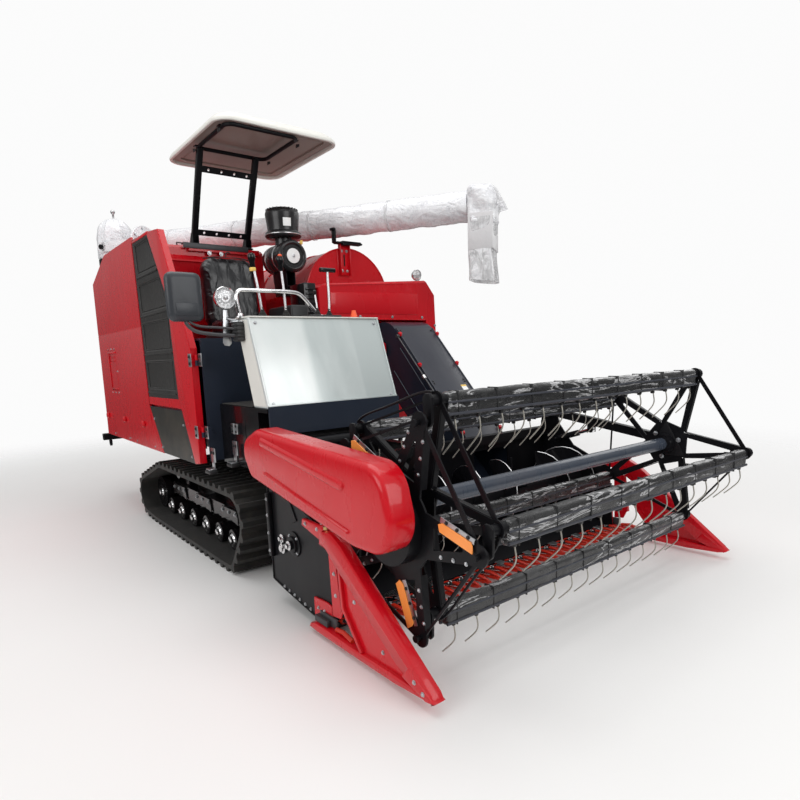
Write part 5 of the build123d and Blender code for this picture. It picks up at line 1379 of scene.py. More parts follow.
def makeBoom():
    low, steps = boom["gap"] + 0.028, 96
    high = boomLong + 0.004
    film = turned("boomFilm", [(boom["radius"] - 0.002, low + (high - low) * k / steps)
                               for k in range(steps + 1)], sides=40)
    for p in film.points():  # wound in overlapping turns that slant along the tube
        r = math.hypot(p.x, p.y)
        if r > 0.05:
            turn = (p.z / 0.26 + math.atan2(p.y, p.x) / (2 * math.pi)) % 1.0
            proud = 0.0045 * turn + 0.0035 * math.sin(p.z * 31) * math.sin(p.z * 7 + 1)
            p.x, p.y = p.x * (1 + proud / r), p.y * (1 + proud / r)
    crumpled(crumpled(film, 0.09, 0.012), 0.022, 0.006)
    film.placed(boomTurn).done(milkyFilm, "unload_boom", 60, slot="film_wrap", stands=["unloading_tube"])
    bands = [turned("tape", [(0.1085, z), (0.1095, z + 0.001), (0.1095, z + 0.018), (0.1085, z + 0.019)],
                    sides=36) for z in (0.62, 1.24, 1.92, 2.55)]
    joined("boomTapes", bands).placed(boomTurn).done(clearTape, "unload_boom", 40)
    rim = turned("boomRim", [(0.104, boom["gap"]), (0.168, boom["gap"] + 0.001),
                             (0.1695, boom["gap"] + 0.004), (0.1695, boom["gap"] + 0.021),
                             (0.168, boom["gap"] + 0.024), (0.104, boom["gap"] + 0.025)], sides=48)
    ears = []
    for hand in (-1, 1):
        eye = Vector(boom["start"]) + boomSide * hand * 0.164
        ear = turned("ear", [(0.045, -0.006), (0.045, 0.006)], eye, boomSide, 28)
        strap = box("strap", (-0.040, -0.006, 0), (0.040, 0.006, boom["gap"] + 0.004)).rounded(0.003)
        turn = Matrix((boomSide.cross(boomWay), boomSide, boomWay)).transposed().to_4x4()
        strap.placed(Matrix.Translation(eye) @ turn)
        for part in (ear, strap):
            ears.append(part.less(turned("hole", [(0.0206, -0.03), (0.0206, 0.03)], eye, boomSide, 20)))
    joined("boomEars", [rim.placed(boomTurn)] + ears).done(milkyFilm, "unload_boom", slot="film_wrap")
    hexes = [(boomTurn @ Vector((0.145 * math.cos(a), 0.145 * math.sin(a), boom["gap"] + 0.025)), boomWay)
             for a in [math.radians(45 * k + 12) for k in range(8)]]
    hexBolts("boomBolts", hexes, 0.009, "unload_boom", zinc)


def makeSpout():
    middle = Vector(boom["end"]) + boomFlat * 0.101
    frameTurn = Matrix((boomFlat, boomSide, Vector((0, 0, 1)))).transposed().to_4x4()
    seat = Matrix.Translation((middle.x, middle.y, 0)) @ frameTurn
    # wrapped head: a bag of film drawn over the spout's top with a stiff pointed flap
    head = box("spoutHead", (-0.098, -0.128, 2.070), (0.100, 0.132, 2.338)).rounded(0.045, 4)
    for p in head.every().split(3).points():
        p.x += 0.012 * math.sin(p.z * 38 + p.y * 20) * (1 if p.x > 0 else 0.3)
        p.y += 0.010 * math.sin(p.z * 27 + p.x * 33)
        if p.z < 2.16:
            p.x *= 0.94
            p.y *= 0.92
    crumpled(crumpled(head.smoothed(), 0.07, 0.020), 0.02, 0.009)
    head.placed(seat).done(milkyFilm, "unload_boom", 60, slot="film_wrap", stands=["unloading_spout"])
    flap = plate("spoutFlap", [(0.070, 2.315), (0.104, 2.295), (0.150, 2.225), (0.158, 2.205),
                               (0.110, 2.190), (0.080, 2.150), (0.060, 2.200)], "y", 0.010, 0.016)
    for p in flap.every().split(3).points():
        p.y += 0.018 * math.sin(p.x * 60 + p.z * 22)
    flaps = [flap.smoothed()]
    flaps.append(flaps[0].twin("flapTwo", Matrix.Translation((0.004, 0.060, -0.020))
                               @ Matrix.Rotation(math.radians(-7), 4, "Z")))
    flaps.append(flaps[0].twin("flapThree", Matrix.Translation((-0.002, -0.075, 0.010))
                               @ Matrix.Rotation(math.radians(6), 4, "Z")))
    joined("spoutFlaps", flaps).placed(seat).done(clearFilm, "unload_boom", 60)
    # wrapped chute seen through the hanging sleeve
    chute = box("spoutChute", (-0.088, -0.122, 1.905), (0.086, 0.122, 2.150)).rounded(0.006, 2)
    chute.faces(lambda c, n: n.z < -0.9 and c.z < 1.95).drop()
    chute.wall(0.003)
    chute.placed(seat).done(chuteFilm, "unload_boom", slot="red_paint")
    sleeve = plate("spoutSleeve", roundedRing((-0.090, 0.090), (-0.128, 0.128), 0.030, steps=5), "z",
                   1.696, 2.120)
    sleeve.faces(lambda c, n: abs(n.z) > 0.9).drop()
    for k in range(1, 22):
        sleeve.cut((0, 0, 1.696 + 0.0193 * k), (0, 0, 1))
    for p in sleeve.points():  # hangs in long uneven folds, drawn in under the head
        a, down = math.atan2(p.y, p.x), (2.120 - p.z) / 0.424
        wave = (math.sin(a * 7 + p.z * 9) * 0.006 + math.sin(a * 15 - p.z * 21) * 0.003) * (0.4 + down)
        squeeze = 1 - 0.05 * math.sin(down * 3.1)
        p.x, p.y = p.x * squeeze + math.cos(a) * wave, p.y * squeeze + math.sin(a) * wave
        p.z += 0.010 * math.sin(a * 3 + 1) * down ** 3
    sleeve.smoothed().wall(0.0012)
    sleeve.placed(seat).done(clearFilm, "unload_boom", 60)


def makeElbow():
    x, y = boom["start"][:2]
    dome = turned("elbowFilm", [(0.1505, 2.105), (0.1515, 2.125), (0.1515, 2.170), (0.1515, 2.215),
                                (0.1515, 2.260), (0.1500, 2.305), (0.142, 2.345), (0.129, 2.385),
                                (0.104, 2.418), (0.076, 2.441), (0.040, 2.455), (0.012, 2.462)],
                  (x, y, 0), (0, 0, 1), 44)
    for p in dome.smoothed().points():  # film gathered up to the ball
        a, r = math.atan2(p.y - y, p.x - x), math.hypot(p.x - x, p.y - y)
        if r > 0.02:
            fold = math.sin(a * 9 + p.z * 6) * 0.0035 + math.sin(a * 23) * 0.0018
            p.x += math.cos(a) * fold
            p.y += math.sin(a) * fold
    crumpled(dome, 0.05, 0.008)
    dome.done(milkyFilm, "unload_turret", 60, slot="film_wrap", stands=["auger_elbow"])
    skirt = turned("elbowRing", [(0.149, 2.0502), (0.152, 2.052), (0.152, 2.108), (0.149, 2.112)],
                   (x, y, 0), (0, 0, 1), 44)
    pin = turned("elbowPin", [(0.020, -0.185), (0.020, 0.185)], boom["start"], boomSide, 24)
    joined("elbowFrame", [skirt, pin]).done(blackPaint, "unload_turret", slot="black_paint")
    ball = turned("elbowBall", [(0.006, 2.450), (0.008, 2.470), (0.008, 2.500), (0.014, 2.505),
                                (0.018, 2.514), (0.0185, 2.522), (0.014, 2.532), (0.005, 2.5355)],
                  (x, y, 0), (0, 0, 1), 20)
    ball.done(brightSteel, "unload_turret", 60)


def chuteMaterial():
    f = Finish("chuteFilm", coatRough=0.1)
    f.give("color", f.blend(f.noise(5, 5), (0.60, 0.59, 0.60), (0.74, 0.73, 0.74))).give("rough", 0.4)
    return f.give("normal", f.bump(f.noise(14, 4), 0.4, 0.01)).material


def clearMaterial(name, thin, thick, milk):  # clear film: seen through between its white creases
    f = Finish(name, shine=0.7, coatRough=0.08)
    crease = f.noise(13, 6, (1, 1, 0.5), 1.8, 0.6)
    share = f.mask(crease, 0.38, 0.62)
    f.give("color", f.blend(share, (milk, milk, milk + 0.01),
                            (0.93, 0.93, 0.95))).give("alpha", share * (thick - thin) + thin)
    f.give("rough", f.noise(30, 4) * 0.2 + 0.12).give("coat", 0.6)
    return f.give("normal", f.bump(crease, 0.9, 0.02)).material


chuteFilm = chuteMaterial()
clearFilm = clearMaterial("clearFilm", 0.35, 0.80, 0.72)
clearTape = clearMaterial("clearTape", 0.45, 0.70, 0.80)
cleanerBlack = plastic("cleanerBlack", (0.014, 0.014, 0.015), 0.24, 320, 0.06)
makeCanopy()
makeCanopyPosts()
makeCleaner()
makeDrumAndHood()
makeCradle()
makeBoom()
makeSpout()
makeElbow()
print("roof, cleaner and unloading auger dressed")


# Header: feeder cover, crop dividers, guards, knife, deck side, auger edges.
header = {"right": -0.790, "left": 1.330, "knifeX": 1.915, "knifeZ": 0.066, "pitch": 0.0762, "guards": 27,
          "auger": (1.580, 0.350), "flight": 0.2035, "turn": 0.26, "feeder": (0.5883, 0, 1.3803),
          "feederSlope": 46.72, "feederSides": (0.626, 0.974), "sawTeeth": 16}


def makeFeederCover():
    lay = Matrix.Translation(header["feeder"]) @ Matrix.Rotation(math.radians(header["feederSlope"]), 4,
                                                                 "Y")
    low, high = header["feederSides"]
    cover = box("cover", (-0.010, low, 0.0006), (1.040, high, 0.0070))
    cover.edges(lambda a, b: abs(a.x - b.x) > 0.5 and a.z > 0.005).bevel(0.005, 2)
    cover.cut((0.520, 0, 0), (1, 0, 0)).rounded(0.0012, 1)
    rims = [box("rim", (-0.005, y - 0.004, 0.002), (1.035, y + 0.004, 0.013)).rounded(0.003)
            for y in (low + 0.004, high - 0.004)]
    joined("feederCover", [cover] + rims).placed(lay).done(charcoalPaint, "header")
    latches = []
    for x in (0.06, 0.36, 0.66, 0.96):
        for y, side in ((low - 0.002, -1), (high + 0.002, 1)):
            latches.append(box("hook", (x - 0.016, y - 0.010, 0.004),
                               (x + 0.016, y + 0.010, 0.018)).rounded(0.005, 3))
            latches.append(turned("button", [(0.013, 0), (0.014, 0.004), (0.010, 0.010)], (x, y, 0.016),
                                  (0, 0, 1), 16))
    joined("feederLatches", latches).placed(lay).done(redPaint, "header")
    label = box("feederLabel", (0.560, 0.880, 0.0072), (0.650, 0.930, 0.0076)).rounded(0.0003, 1)
    label.placed(lay).done(labelWhite, "header")
    strip = box("labelStrip", (0.560, 0.880, 0.0076), (0.575, 0.930, 0.0078)).placed(lay)
    strip.done(yellowPlastic, "header")
    screws = [(lay @ Vector((x, y, 0.007)), lay.to_3x3() @ Vector((0, 0, 1)))
              for x in (0.02, 0.51, 0.53, 1.02) for y in (low + 0.030, high - 0.030)]
    hexBolts("feederScrews", screws, 0.006, "header", blackPlastic)
    sides = []
    for y in (0.6195, 0.9805):  # stiffening beads down both sides of the feeder
        sides.append(tube("bead", [(0.640, y, 1.245), (1.270, y, 0.575)], 0.005, 8))
        sides.append(tube("bead", [(0.560, y, 1.085), (1.270, y, 0.330)], 0.005, 8))
    joined("feederBeads", sides).done(navyPaint, "header")
    strut = [tube("strut", [(0.640, 0.600, 1.330), (1.180, 0.600, 0.775)], 0.006, 10),
             turned("joint", [(0.012, -0.012), (0.014, -0.008), (0.014, 0.008), (0.012, 0.012)],
                    (0.640, 0.600, 1.330), (0, 1, 0), 16)]
    joined("feederStrut", strut).done(castIron, "header")
    turned("strutJoint", [(0.010, 0), (0.013, 0.004), (0.013, 0.030), (0.009, 0.034)],
           (0.905, 0.600, 1.058), (0.68, 0, -0.73), 14).done(brightSteel, "header")


# the dividers' plain sheets: name, depths off the table's side, rounding, its steps, outline
dividerSheets = (
    ("web", 0.030, 0.034, 0.0012, 1,
     [(2.030, 0.372), (2.330, 0.165), (2.560, 0.048), (2.340, 0.048), (2.165, 0.058), (2.045, 0.205)]),
    ("flange", 0.018, 0.048, 0.002, 2,
     [(2.026, 0.368), (2.040, 0.372), (2.057, 0.207), (2.176, 0.062), (2.160, 0.056), (2.040, 0.200)]),
    ("post", 0.006, 0.012, 0.0015, 1,
     [(1.900, 0.428), (1.968, 0.398), (1.998, 0.168), (1.975, 0.120), (1.912, 0.112)]),
    ("tip", 0.002, 0.055, 0.006, 3,
     [(2.470, 0.130), (2.585, 0.066), (2.606, 0.049), (2.560, 0.040), (2.430, 0.080)]),
    ("foot", 0.0, 0.010, 0.002, 1,
     [(1.750, 0.060), (1.900, 0.062), (1.900, 0.150), (1.862, 0.156), (1.752, 0.150)]),
    ("rear", 0.001, 0.018, 0.004, 2,
     [(1.690, 0.470), (1.700, 0.502), (1.895, 0.500), (1.900, 0.440), (1.840, 0.436)]),
)


def makeDivider(name, side):
    skin = header["right"] if side < 0 else header["left"]
    out = lambda depth: skin + side * depth
    beam = plate("beam", [(1.885, 0.430), (1.892, 0.478), (1.915, 0.500), (1.985, 0.506), (2.060, 0.470),
                          (2.585, 0.076), (2.602, 0.050), (2.590, 0.042), (2.440, 0.085), (2.020, 0.372),
                          (1.935, 0.424)], "y", out(0.004), out(0.052))
    beam.edges(lambda a, b: abs(a.y - out(0.052)) < 1e-4 and abs(b.y - out(0.052)) < 1e-4
               and (a.z + b.z) / 2 > 0.055
               and not (abs((a.z + b.z) / 2 - 0.2285) < 0.02 and (a.x + b.x) / 2 < 2.26)).bevel(0.016, 2)
    beam.outward().rounded(0.0022, 2, 50)
    fold = plate("fold", [(1.968, 0.398), (1.974, 0.398), (2.004, 0.168), (1.998, 0.168)], "y",
                 out(0.006), out(0.026))
    skid = plate("skid", [(1.758, 0.024), (1.772, 0.046), (1.815, 0.060), (1.900, 0.062), (2.110, 0.058),
                          (2.360, 0.062), (2.560, 0.058), (2.604, 0.050), (2.560, 0.038), (2.380, 0.024),
                          (2.100, 0.021), (1.830, 0.0205)], "y", out(-0.002), out(0.050))
    skid.edges(lambda a, b: abs(a.y - out(0.050)) < 1e-4 and abs(b.y - out(0.050)) < 1e-4).bevel(0.010, 2)
    skid.outward().rounded(0.002, 2, 50)
    sheets = [plate(sheet, outline, "y", out(near), out(far)).rounded(soft, steps, 50)
              for sheet, near, far, soft, steps, outline in dividerSheets]
    joined(name, [beam, fold, skid] + sheets).done(redPaint, "header", 40, slot="red_paint",
                                                   stands=["divider_right" if side < 0
                                                           else "divider_left"])
    spots = [((x, out(d), z), (0, side, 0))
             for x, z, d in ((1.945, 0.215, 0.012), (1.940, 0.310, 0.012), (2.120, 0.250, 0.034),
                             (2.300, 0.110, 0.034), (2.440, 0.070, 0.034), (1.790, 0.110, 0.010),
                             (1.840, 0.110, 0.010), (1.730, 0.484, 0.018), (1.830, 0.480, 0.018),
                             (2.505, 0.090, 0.055), (2.550, 0.066, 0.055))]
    hexBolts(name + "Bolts", spots, 0.0065, "header", zinc)
    turned(name + "Nut", [(0.015, 0), (0.015, 0.012), (0.009, 0.013), (0.009, 0.022)],
           (1.925, out(0.026), 0.503), (0, 0, 1), 6).done(brass, "header")
    bracket = []
    for x0, x1, near, far, top, soft in ((1.800, 1.905, 0.012, 0.040, 0.092, 0.004),
                                         (1.815, 1.950, 0.010, 0.020, 0.110, 0.003)):
        low, high = sorted((out(near), out(far)))
        bracket.append(box("bracket", (x0, low, 0.064), (x1, high, top)).rounded(soft))
    joined(name + "Bracket", bracket).done(castIron, "header")
    finger = tube(name + "Finger", [(1.955, out(0.022), 0.070), (2.010, out(0.024), 0.078),
                                    (2.080, out(0.026), 0.066)], 0.010, 12)
    finger.done(guardRed, "header", 60)


def makeGuards():
    x, z = header["knifeX"], header["knifeZ"]
    finger = box("finger", (x - 0.050, -0.014, z - 0.016), (x + 0.020, 0.014, z - 0.001))
    finger.faces(lambda c, n: n.x > 0.9).extrude(0.050, 0, 0).swell(1, 0.80, 1.15, (0, 0, z - 0.006))
    finger.extrude(0.038, 0, 0.004).swell(1, 0.62, 0.95, (0, 0, z - 0.002))
    finger.extrude(0.020, 0, 0.003).swell(1, 0.35, 0.45, (0, 0, z + 0.002))
    finger.outward().rounded(0.003, 2, 25)
    lip = box("lip", (x + 0.010, -0.010, z + 0.0055), (x + 0.058, 0.010, z + 0.015))
    lip.faces(lambda c, n: n.x > 0.9).extrude(0.040, 0, -0.004).swell(1, 0.7, 0.7, (0, 0, z + 0.008))
    lip.extrude(0.018, 0, -0.003).swell(1, 0.45, 0.5, (0, 0, z + 0.004))
    lip.outward().rounded(0.003, 2, 25)
    wing = box("wing", (x - 0.048, -0.032, z - 0.013), (x - 0.012, 0.032, z - 0.005)).rounded(0.003, 2)
    start = (header["right"] + header["left"]) / 2 - (header["guards"] - 1) / 2 * header["pitch"]
    rows = [Matrix.Translation((0, start + k * header["pitch"], 0)) for k in range(header["guards"])]
    copies("guardFingers", joined("finger", [finger, lip, wing]),
           rows).done(guardRed, "header", 50, slot="guard_paint", stands=["knife_guards"])
    bar = box("guardBar", (x - 0.060, header["right"] + 0.008, z - 0.034),
              (x - 0.032, header["left"] - 0.008, z - 0.0145))
    bar.rounded(0.002).done(blackPaint, "header")
    clips = [box("clip", (x - 0.046, start + k * header["pitch"] - 0.026, z + 0.0065),
                 (x + 0.004, start + k * header["pitch"] + 0.026, z + 0.0095)).rounded(0.0014, 1)
             for k in range(1, header["guards"], 3)]
    joined("knifeClips", clips).done(zinc, "header")
    bolts = [((x - 0.038, start + k * header["pitch"] + 0.022, z - 0.005), (0, 0, 1))
             for k in range(header["guards"])]
    hexBolts("guardBolts", bolts, 0.006, "header", zinc)
    # bright toothed plate that lies on the first guards
    teeth = [(1.800, -0.700), (1.800, -0.120)]
    for k in range(header["sawTeeth"]):
        y = -0.120 - 0.036 * k
        teeth += [(1.872, y - 0.006), (1.846, y - 0.034)]
    saw = plate("sawPlate", teeth, "z", z + 0.0125, z + 0.0150)
    saw.done(knifeSteel, "header", 20)
    rivets = [turned("rivet", [(0.0045, 0), (0.0040, 0.002), (0.0015, 0.003)],
                     (x - 0.016, start + k * header["pitch"] + dy, z + 0.003), (0, 0, 1), 8)
              for k in range(header["guards"]) for dy in (-0.010, 0.010)]
    joined("knifeRivets", rivets).done(brightSteel, "knife")


def makeDeckSides():
    for name, y, side in (("Right", header["right"], -1), ("Left", header["left"], 1)):
        ax, az = header["auger"]
        parts = [turned("flange", [(0.060, 0), (0.060, 0.006), (0.040, 0.008), (0.038, 0.018),
                                   (0.026, 0.020)], (ax, y, az), (0, side, 0), 32)]
        edge = [(1.336, y + side * 0.001, 0.590), (1.336, y + side * 0.001, 0.115),
                (1.472, y + side * 0.001, 0.090), (1.850, y + side * 0.001, 0.036)]
        parts.append(tube("hem", edge, 0.005, 8))
        parts.append(box("channel", (1.342, min(y, y + side * 0.022), 0.240),
                         (1.372, max(y, y + side * 0.022), 0.560)).rounded(0.003))
        parts.append(plate("gusset", [(1.470, 0.640), (1.560, 0.560), (1.620, 0.470), (1.590, 0.455),
                                      (1.470, 0.560)], "y", y, y + side * 0.006).rounded(0.001, 1))
        joined("deckSide" + name, parts).done(blackPaint, "header")
        spots = [((1.450 + 0.050 * k, y + side * 0.0005, 0.104 - 0.0067 * k), (0, side, 0))
                 for k in range(8)]
        spots += [((1.357, y + side * 0.022, z), (0, side, 0)) for z in (0.270, 0.360, 0.450, 0.530)]
        spots += [((ax + 0.049 * math.cos(a), y + side * 0.006, az + 0.049 * math.sin(a)), (0, side, 0))
                  for a in [math.radians(45 + 90 * k) for k in range(4)]]
        hexBolts("deckBolts" + name, spots, 0.006, "header", zinc)
        shaft = turned("augerEnd" + name, [(0.0222, 0), (0.0222, 0.004), (0.013, 0.005), (0.013, 0.016),
                                           (0.009, 0.018)], (ax, y + side * 0.0295, az), (0, side, 0), 24)
        shaft.done(chrome, "cross_auger")
    y = header["right"]
    fitting = [turned("disc", [(0.024, 0), (0.026, 0.003), (0.026, 0.010), (0.016, 0.012),
                               (0.016, 0.020)], (1.468, y, 0.305), (0, -1, 0), 24),
               turned("disc", [(0.020, 0), (0.021, 0.003), (0.021, 0.008), (0.010, 0.010),
                               (0.010, 0.022)], (1.462, y, 0.352), (0, -1, 0), 24),
               tube("hook", [(1.462, y - 0.018, 0.352), (1.486, y - 0.018, 0.340),
                             (1.484, y - 0.018, 0.312), (1.468, y - 0.016, 0.305)], 0.0045, 8, bend=1)]
    joined("deckFittings", fitting).done(chrome, "header")


def makeAugerEdges():
    cx, cz = header["auger"]
    edges = []
    for start, end, hand in ((header["right"] + 0.027, 0.618, 1), (header["left"] - 0.022, 0.982, -1)):
        steps = max(8, round(abs(end - start) / header["turn"] * 24))
        points = []
        for k in range(steps + 1):
            y = start + (end - start) * k / steps
            a = math.radians(hand * 360 * (y - start) / header["turn"])
            points.append((cx + header["flight"] * math.cos(a), y - 0.0025,
                           cz + header["flight"] * math.sin(a)))
        edges.append(tube("edge", points, 0.0036, 6))
    joined("augerEdges", edges).done(brightSteel, "cross_auger", 60)
    sleeve = turned("reelSleeve", [(0.0345, -0.620), (0.0345, 1.165)], (reel["x"], 0, reel["z"]),
                    (0, 1, 0), 28)
    sleeve.done(slatePaint, "reel")


slatePaint = paint("slatePaint", (0.050, 0.062, 0.085), (0.040, 0.050, 0.070), rough=0.26, coat=0.4,
                   sway=0.05, dust=0.08)
brass = steel("brass", (0.62, 0.44, 0.20), 0.3)
makeFeederCover()
makeDivider("dividerRight", -1)
makeDivider("dividerLeft", 1)
makeGuards()
makeDeckSides()
makeAugerEdges()
print("header dressed")


# Running gear hubs, and the left side and back: doors, belt covers, handles, louvres, lamps, steps.
gear = {"track": 0.595, "rollers": (-0.620, -0.380, -0.130, 0.120, 0.350, 0.570, 0.810), "rollerZ": 0.112,
        "hubFace": 0.0955, "idler": (-0.845, 0.185), "sprocket": (0.885, 0.330),
        "arches": ((-0.645, -0.355), (-0.155, 0.145), (0.325, 0.595))}


def makeHubs():
    track, hubFace = gear["track"], gear["hubFace"]
    hub = turned("hub", [(0.040, 0), (0.040, 0.004), (0.034, 0.010), (0.026, 0.011), (0.025, 0.022),
                         (0.018, 0.026), (0.008, 0.027)], sides=24)
    rim = turned("rim", [(0.0635, 0), (0.0635, 0.003), (0.058, 0.005), (0.048, 0.0045), (0.046, 0.001)],
                 sides=32)
    faces = [(side, hand) for side in (-1, 1) for hand in (-1, 1)]
    places = [setDown((x, side * track + hand * hubFace, gear["rollerZ"]), (0, hand, 0))
              for side, hand in faces for x in gear["rollers"]]
    idlerX, idlerZ = gear["idler"]
    places += [setDown((idlerX, side * track + hand * hubFace, idlerZ), (0, hand, 0))
               for side, hand in faces]
    copies("rollerHubs", hub, places).done(chrome, "chassis", 30)
    copies("rollerRims", rim, places).done(glossBlack, "chassis", 30)
    arches, bolts = [], []
    sprocketX, sprocketZ = gear["sprocket"]
    for side, hand in faces:
        y = side * track + hand * 0.060
        for a, b in gear["arches"]:
            low, high, mid = 0.196, 0.286, (a + b) / 2
            arches.append(plate("arch", [(a, low), (a + 0.02, high), (b - 0.02, high), (b, low),
                                         (mid, low + 0.03)],
                                "y", *sorted((y, y + hand * 0.006))).rounded(0.002, 1))
            bolts += [((x, y + hand * 0.006, 0.262), (0, hand, 0)) for x in (a + 0.035, mid, b - 0.035)]
        for turn in [math.radians(40 * n + 8) for n in range(9)]:
            bolts.append(((sprocketX + 0.036 * math.cos(turn), side * track + hand * 0.0305,
                           sprocketZ + 0.036 * math.sin(turn)), (0, hand, 0)))
    joined("beamArches", arches).done(glossBlack, "chassis")
    hexBolts("gearBolts", bolts, 0.010, "chassis", zinc)
    springs = [turned("tensioner", [(0.020, 0), (0.020, 0.110), (0.014, 0.112), (0.014, 0.170)],
                      (-0.790, y, 0.215), (1, 0, 0.12), 18) for y in (-track, track)]
    joined("tensioners", springs).done(brightSteel, "chassis")


leftSide = {"face": 1.1181, "beltCover": 1.160,
            "pulleys": ((-0.480, 0.960, 0.140), (-0.060, 0.820, 0.070)),
            "doors": (((-1.38, -0.76), (0.74, 1.18)), ((-1.38, -0.76), (1.24, 1.56)),
                      ((-0.64, -0.12), (1.24, 1.56)))}


def makeLeftSide():
    y, belt = leftSide["face"], leftSide["beltCover"]
    handles, hinges, bolts, slats = [], [], [], []
    for (xa, xb), (za, zb) in leftSide["doors"]:
        ring = [(xa + 0.02, y, za + 0.02), (xb - 0.02, y, za + 0.02), (xb - 0.02, y, zb - 0.02),
                (xa + 0.02, y, zb - 0.02)]
        slats.append(tube("bead", ring + ring[:1], 0.0045, 6))
        for k in range(4):
            z = zb - 0.08 - 0.032 * k
            slat = box("slat", (xa + 0.16, y - 0.001, z), (xb - 0.16, y + 0.008, z + 0.016))
            slat.faces(lambda c, n: n.y > 0.9).shift(0, 0, -0.006)
            slats.append(slat.rounded(0.002))
        mid = (za + zb) / 2 - 0.05
        handles.append(turned("cup", [(0.026, 0), (0.026, 0.004), (0.020, 0.006)], (xb - 0.06, y, mid),
                              (0, 1, 0), 24))
        handles.append(box("tee", (xb - 0.064, y + 0.004, mid - 0.020),
                           (xb - 0.056, y + 0.016, mid + 0.020)).rounded(0.003))
        for z in (za + 0.07, zb - 0.07):
            hinges.append(turned("pin", [(0.008, -0.032), (0.008, 0.032)], (xa, y + 0.001, z), (0, 0, 1),
                                 14))
            hinges.append(box("leaf", (xa, y - 0.001, z - 0.028),
                              (xa + 0.040, y + 0.003, z + 0.028)).rounded(0.002))
        bolts += [((x, y - 0.0005, za + 0.045), (0, 1, 0)) for x in (xa + 0.10, xb - 0.10)]
    joined("doorPressings", slats).done(redFlat, "chassis")
    joined("doorHandles", handles).done(blackPlastic, "chassis")
    joined("doorHinges", hinges).done(zinc, "chassis")
    rounds = [turned("boss", [(0.046, 0), (0.046, 0.004), (0.026, 0.006), (0.026, 0.012), (0.016, 0.014)],
                     (x, belt, z), (0, 1, 0), 28) for x, z, radius in leftSide["pulleys"]]
    seam = hullOutline(leftSide["pulleys"])
    rounds.append(tube("seam", [(a, belt + 0.0005, b) for a, b in seam + seam[:1]], 0.004, 6))
    joined("beltCoverTrim", rounds).done(redFlat, "chassis")
    for (x, z, radius), reach, turns in zip(leftSide["pulleys"], (0.120, 0.055),
                                            ((1.6, 2.6, 3.7, 4.6), (-1.2, 0.6))):
        bolts += [((x + reach * math.cos(a), belt, z + reach * math.sin(a)), (0, 1, 0)) for a in turns]
    hexBolts("leftBolts", bolts, 0.008, "chassis", zinc)
    # pulley that drives the header, on the feeder's top shaft
    pulley = turned("drivePulley", [(0.090, 0), (0.090, 0.004), (0.078, 0.010), (0.078, 0.016),
                                    (0.090, 0.022), (0.090, 0.026), (0.030, 0.027), (0.028, 0.034)],
                    (0.450, 1.032, 1.250), (0, 1, 0), 36)
    pulley.done(castIron, "header")


rear = {"ribs": 7, "ribStart": 0.26, "ribPitch": 0.115, "lamps": 0.840, "stepX": -1.640,
        "steps": (-0.300, -0.020), "rungs": (0.700, 0.950, 1.200, 1.450, 1.700), "lidX": (-0.992, -0.428),
        "lidY": (-0.752, -0.148), "hoops": (0.760, 1.000, 1.500, 1.760)}


